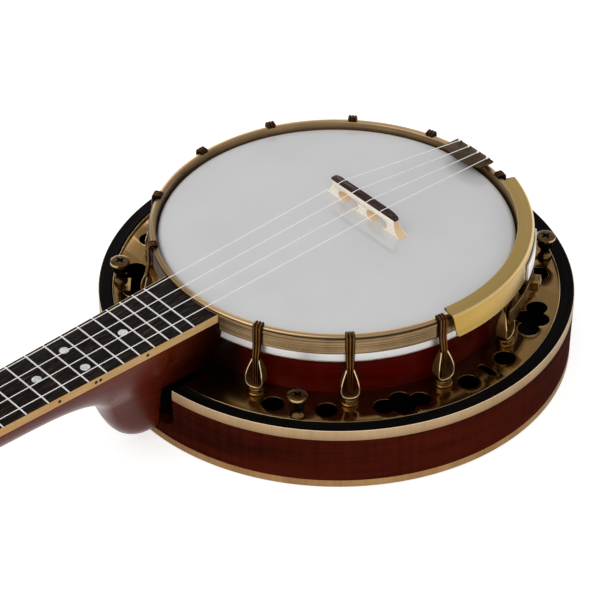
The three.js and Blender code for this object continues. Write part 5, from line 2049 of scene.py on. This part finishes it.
@dataclass
class Armrest:
    """The brass armrest over the hoop and the bracket that holds it."""

    start: float = 83.9
    end: float = 161.6
    inner: float = 103.3
    outer: float = 112.9
    top: float = 85.2
    skirt: float = 15.6
    skin: float = 1.1
    bend_radius: float = 2.2
    slant: float = 1.8
    bar_start: float = 107.6
    bar_end: float = 129.0
    # Where the near-white strip, a painted reflection, lies on the skirt.
    reflection_start: float = 120.5
    reflection_end: float = 139.0
    bar_bottom: float = 54.0
    bar_top: float = 64.0
    reflection_bottom: float = 68.5
    reflection_top: float = 79.0
    strap_gap: float = 0.25
    strap_thickness: float = 1.1
    clamp: float = 127.3
    clamp_half: float = 4.0
    clamp_bottom: float = 54.4
    clamp_top: float = 61.0
    clamp_screw: float = 58.5
    near_corner: float = 1.2
    far_corner: float = 4.0

    def shell_plate(self) -> None:
        """The bent sheet: its section runs across the top, round the bend and down the skirt.

        A point at a distance s from the section's nearer end stops short of the sheet's start or end by
        r - sqrt(r^2 - (r - s)^2), so that the corners of radius r come out round. The sheet's inner face
        lies a skin's thickness inside.
        """
        section = rounded_line([
            (self.inner, self.top), (self.outer, self.top), (self.outer, self.top - self.skirt),
        ], self.bend_radius, 9)
        length = lengths(section)
        dense = np.unique(np.concatenate([length, np.linspace(0, length[-1], 40)]))
        line = stepped(section, dense)
        along = unit(np.gradient(line, axis=0))
        inward = np.column_stack([along[:, 1], -along[:, 0]]) * self.skin
        closed = np.concatenate([line, (line + inward)[::-1]])
        place = np.concatenate([dense, dense[::-1]])
        ends = np.minimum(place, length[-1] - place)

        def short(radius: float) -> Points:
            """How far a corner of this radius holds the sheet back, in millimetres."""
            inside = np.clip(radius - ends, 0, radius)
            return radius - np.sqrt(radius**2 - inside**2)

        height = closed[:, 1]
        lean = self.slant * (self.top - height) / self.skirt
        first = self.start + lean + np.degrees(short(self.near_corner) / self.outer)
        last = self.end - np.degrees(short(self.far_corner) / self.outer)
        share = np.linspace(0, 1, 90)[:, None]
        turn = np.radians(90 + first + (last - first) * share)
        points = polar(closed[:, 0], turn, height)
        bend = self.outer - self.inner
        # Painted highlight: bright along the bend and at the ends, and a little on the top face.
        wear_and_light = np.exp(-(((place - bend + 0.8) / 0.8) ** 2)) + 0.5 * np.exp(-((ends / 0.3) ** 2))
        wear_and_light = np.maximum(wear_and_light, np.where(place < bend - 1, 0.28, 0.0))
        shell = Shell()
        shell.grid(points, relief=wear_and_light[None])
        show("bent_armrest", shell, ARM_BRASS, replaces=["armrest"])

    def strap(self, span: tuple[float, float], low: float, high: float, inner: float) -> Shell:
        """A flat strap bent round the pot between two angles.

        Args:
            span: The two angles from the neck, in degrees.
            low: The lower edge's height.
            high: The upper edge's height.
            inner: The inner face's radius.

        Returns:
            Its surfaces.
        """
        section = rounded(oblong(inner, low, inner + self.strap_thickness, high), 0.25)
        turn = np.radians(90 + np.linspace(*span, 30))[:, None]
        shell = Shell()
        shell.grid(polar(section[:, 0], turn, section[:, 1]))
        return shell

    def build(self) -> None:
        """Builds and dresses the armrest."""
        self.shell_plate()
        inner = self.outer + self.strap_gap
        outer, half = inner + self.strap_thickness, self.clamp_half
        bar = self.strap((self.bar_start, self.bar_end), self.bar_bottom, self.bar_top, inner)
        low, high = (outer - 0.4, -half, self.clamp_bottom), (outer + 4.4, half, self.clamp_top)
        bar.block(low, high, 0.5, lambda points: about_pot(points, self.clamp))
        screw = np.array([(0, 4.0), (2.6, 4.0), (2.8, 4.4), (2.8, 5.4), (2.0, 5.8), (0, 5.9)]) * (1, 0.9)

        def facing_out(points: Points) -> Points:
            """Points a small turned piece away from the pot on the clamp."""
            x, y, z = (points[..., k] for k in range(3))
            return about_pot(np.stack([z + outer - 0.2, x, y + self.clamp_screw], -1), self.clamp)

        bar.turn(screw, facing_out, 32)
        show("armrest_bar", bar, AGED_BRASS, replaces=["armrest_bracket"])
        # A near-white strip laid on the skirt's face: a painted reflection of the white backdrop at a grazing
        # angle.
        reflection_strip = self.strap((self.reflection_start, self.reflection_end), self.reflection_bottom, self.reflection_top, inner)
        show("armrest_reflection_strip", reflection_strip, PALE_BAND)


@dataclass
class Tuners:
    """The four geared tuners under the headstock."""

    neck: Neck
    plate_top: float = -12.8
    plate_bottom: float = -14.0
    plate_half: float = 6.5
    plate_start: float = -5.6
    plate_end: float = 11.1
    ear_start: float = 5.5
    ear_bottom: float = -19.6
    ear_thickness: float = 1.6
    screw_spread: float = 4.6
    screw_y: float = -3.7
    worm_height: float = -16.8
    worm_offset: float = 8.3
    worm_radius: float = 2.05
    thread_depth: float = 0.33
    thread_pitch: float = 2.4
    button_centre: float = 24.5
    button_half: tuple[float, float, float] = (6.0, 7.0, 3.2)
    gear_radius: float = 5.4
    tooth_depth: float = 0.45
    teeth: int = 14

    def frame_of(self, x: float, y: float) -> Place:
        """Places a piece drawn for the treble side at a post, mirrored for the bass side.

        Args:
            x: The post's place across the headstock.
            y: Its place along it.

        Returns:
            The rule that puts points in their place.
        """
        side = math.copysign(1.0, x)

        def placed(points: Points) -> Points:
            """Mirrors the piece in X where needed and carries it to the headstock."""
            moved = points * np.array([side, 1, 1]) + np.array([x, y, 0])
            return self.neck.head_place(moved)

        return placed

    def plate(self, place: Place) -> Shell:
        """The plate, its two ears, two small screws and the collar on the headstock's face.

        Args:
            place: Puts the points in their place.

        Returns:
            Their surfaces.
        """
        shell = Shell()
        half, end, base = self.plate_half, self.plate_end, self.plate_bottom
        corners = rounded(oblong(-half, self.plate_start, half, end), 1.6, 5)
        shell.plate(corners, [circle(3.4, 24)], base, self.plate_top, 0.25, place)
        ear = rounded(oblong(self.ear_start, self.ear_bottom, end, base + 0.1), [2.6, 2.6, 0.2, 0.2], 6)
        bore = circle(1.9, 20, (self.worm_offset, self.worm_height))

        def across(points: Points) -> Points:
            """Stands an ear square to the worm's axis."""
            return place(np.stack([points[..., 2], points[..., 0], points[..., 1]], -1))

        for low in (-half, half - self.ear_thickness):
            shell.plate(ear, [bore], low, low + self.ear_thickness, 0.2, across)
        head = [(0, -14.9), (1.2, -14.7), (1.5, -14.2), (1.5, base + 0.1), (0, base + 0.1)]
        for x in (-self.screw_spread, self.screw_spread):
            centre = np.array([x, self.screw_y, 0])
            shell.turn(head, lambda points, centre=centre: place(points + centre), 20)
        ring = rounded([(3.35, 1.7), (4.9, 1.7), (4.6, 2.5), (3.35, 2.6)], 0.15)
        shell.turn(ring, place, 32, closed=True)
        return shell

    def worm(self, place: Place) -> tuple[Shell, Shell]:
        """The threaded worm on its shaft, and the button: an oval pad thinner at its rim.

        Args:
            place: Puts the points in their place.

        Returns:
            The shaft's surfaces and the button's.
        """

        def lying(points: Points) -> Points:
            """Lays a piece turned about Z along the worm's axis."""
            x, y, z = (points[..., k] for k in range(3))
            return place(np.stack([z, y + self.worm_offset, x + self.worm_height], -1))

        shaft = Shell()
        along = np.linspace(-4.5, 4.5, 73)[:, None]
        turn = np.linspace(0, 2 * np.pi, 24, endpoint=False)
        winding = np.cos(2 * np.pi * along / self.thread_pitch - turn)
        shaft.grid(lying(polar(self.worm_radius + self.thread_depth * winding, turn, along)))
        for low, high, radius in ((-6.8, -4.4, 1.45), (4.4, 18.9, 1.45), (15.6, 18.7, 2.2)):
            rod = rounded_line([(0, low), (radius, low), (radius, high), (0, high)], 0.25, 3)
            shaft.turn(rod, lying, 24)
        button = Shell()
        lift = np.linspace(-np.pi / 2, np.pi / 2, 29)[:, None]
        around = np.linspace(0, 2 * np.pi, 48, endpoint=False)[None]
        ring = np.cos(lift)
        length, width, depth = self.button_half
        pad = np.stack([
            self.button_centre + length * squared_off(np.cos(around), 0.8) * ring,
            self.worm_offset + width * squared_off(np.sin(around), 0.8) * ring,
            self.worm_height + depth * np.sin(lift) * (1 - 0.12 * ring**2) + 0 * around,
        ], -1)
        button.grid(place(pad), capped=False)
        return shaft, button

    def post(self, place: Place) -> Shell:
        """The post with a waist for its string, its cap and its gear.

        The gear's rim stands at R - d + d c, where c is cos(14 t), squared off a little by a power.

        Args:
            place: Puts the points in their place.

        Returns:
            Its surfaces.
        """
        shell = Shell()
        post = rounded_line([
            (0, -18.3), (2.6, -18.3), (3.0, -17.9), (3.0, 4.2), (2.55, 5.0), (2.55, 8.8), (3.2, 9.8),
            (4.4, 10.1), (4.4, 10.9), (3.4, 11.4), (0, 11.4),
        ], 0.22, 3)
        shell.turn(post, place, 36)
        turn = np.linspace(0, 2 * np.pi, 12 * self.teeth, endpoint=False)
        wave = squared_off(np.cos(self.teeth * turn), 0.6)
        radius = self.gear_radius - self.tooth_depth + self.tooth_depth * wave
        shell.plate(polar(radius, turn, 0.0)[:, :2], [], -18.2, -15.4, 0.12, place)
        screw = [(0, -19.2), (1.5, -19.0), (1.9, -18.6), (1.9, -18.1), (0, -18.1)]
        shell.turn(screw, place, 20)
        return shell

    def build(self) -> None:
        """Builds and dresses the tuners."""
        for number, (x, y) in enumerate(self.neck.post_places(), 1):
            place = self.frame_of(x, y)
            show(f"tuner_frame_{number}", self.plate(place), AGED_BRASS, replaces=[f"tuner_plate_{number}"])
            shaft, button = self.worm(place)
            body = f"worm_button_{number}"
            show(f"tuner_shaft_{number}", shaft, AGED_BRASS, body)
            show(f"tuner_button_{number}", button, BUTTON_PEARL, body, [body])
            body = f"gear_post_{number}"
            show(f"tuner_post_{number}", self.post(place), AGED_BRASS, body, [body])


@dataclass
class Studio:
    """The camera, the pale floor and the soft lights, in metres."""

    position: tuple[float, float, float] = (-1.05110, 0.90683, 1.07339)
    forward: tuple[float, float, float] = (0.61224, -0.51222, -0.60233)
    up: tuple[float, float, float] = (0.46197, -0.38650, 0.79825)
    lens: float = 178.80
    floor_half: float = 6.0
    floor_height: float = -0.0003
    sky: float = 0.6
    ceiling: float = 0.5

    def camera(self) -> None:
        """The camera at the photograph's viewpoint."""
        data = bpy.data.cameras.new("camera")
        data.sensor_width = 36.0
        data.lens = self.lens
        data.clip_end = 50.0
        camera = bpy.data.objects.new("camera", data)
        forward, up = Vector(self.forward).normalized(), Vector(self.up).normalized()
        right = forward.cross(up)
        turned = Matrix((right, up, -forward)).transposed().to_4x4()
        camera.matrix_world = Matrix.Translation(self.position) @ turned
        bpy.context.scene.collection.objects.link(camera)
        bpy.context.scene.camera = camera

    def floor(self) -> None:
        """The pale floor; a little light of its own, for background rays only, keeps it near white."""
        half = self.floor_half
        mesh = bpy.data.meshes.new("floor")
        corners = oblong(-half, -half, half, half)
        mesh.from_pydata([(x, y, self.floor_height) for x, y in corners], [], [(0, 1, 2, 3)])
        floor = bpy.data.objects.new("floor", mesh)
        bpy.context.scene.collection.objects.link(floor)
        recipe = Recipe("pale_floor")
        recipe.set(
            Base_Color=(0.82, 0.82, 0.82, 1.0),
            Roughness=0.9,
            Specular_IOR_Level=0.0,
            Emission_Color=recipe.mix(recipe.background_rays(), (0, 0, 0, 1), (1, 1, 1, 1)),
            Emission_Strength=0.6,
        )
        mesh.materials.append(recipe.material)

    def world(self) -> None:
        """A white backdrop where it is seen or mirrored, dimmer overhead for gloss; soft light elsewhere."""
        world = bpy.data.worlds.new("studio_sky")
        bpy.context.scene.world = world
        tree = Tree(world)
        direction = tree.node("ShaderNodeSeparateXYZ", {}, {0: tree.node("ShaderNodeTexCoord").outputs[0]})
        overhead = Value(tree, direction.outputs[2]).step(0.22, 0.62)
        path = tree.node("ShaderNodeLightPath")
        glossy = Value(tree, path.outputs["Is Glossy Ray"])
        shown = 1.0 - glossy * overhead * (1.0 - self.ceiling)
        seen = tree.background_rays()
        strength = (1.0 - seen) * self.sky + seen * shown
        sky = tree.node("ShaderNodeBackground", {}, {0: (1, 1, 1, 1), 1: strength})
        tree.node("ShaderNodeOutputWorld", {}, {0: sky.outputs[0]})

    def lamp(
        self, name: str, place: Sequence[float], size: float, power: float, mirrored: bool = True
    ) -> None:
        """A square soft light that faces the pot, hidden from the camera, and from gloss unless mirrored.

        Args:
            name: The lamp's name.
            place: Where it stands, in metres.
            size: The length of its side, in metres.
            power: Its power in watts.
            mirrored: Whether gloss shows it.
        """
        data = bpy.data.lights.new(name, "AREA")
        data.shape = "SQUARE"
        data.size = size
        data.energy = power
        lamp = bpy.data.objects.new(name, data)
        lamp.visible_camera = False
        lamp.visible_glossy = mirrored
        lamp.location = place
        aim = Vector((0.0, 0.05, 0.05)) - Vector(place)
        lamp.rotation_euler = aim.to_track_quat("-Z", "Y").to_euler()
        bpy.context.scene.collection.objects.link(lamp)

    def build(self) -> None:
        """Sets up the studio."""
        self.camera()
        self.floor()
        self.world()
        self.lamp("overhead_softbox", (0.08, 0.88, 1.32), 1.2, 6.5)
        self.lamp("front_fill", (-0.8, 0.5, 0.4), 0.7, 2.2, mirrored=False)
        self.lamp("back_softbox", (1.1, -0.5, 0.35), 0.6, 2.0)
        bpy.context.scene.view_settings.view_transform = "Standard"


def main() -> None:
    """Builds the studio and every sub-assembly in order."""
    logging.basicConfig(level=logging.INFO, format="%(message)s")
    Studio().build()
    hooks = BracketHooks()
    lines = NeckLines()
    neck = Neck(lines)
    Resonator().build()
    Flange().build(hooks.gaps())
    Pot().build()
    hooks.build()
    ResonatorScrews().build()
    Fingerboard(lines).build()
    neck.build()
    Bridge().build()
    Strings(neck).build()
    Tailpiece().build()
    Armrest().build()
    Tuners(neck).build()


if __name__ == "__main__":
    main()
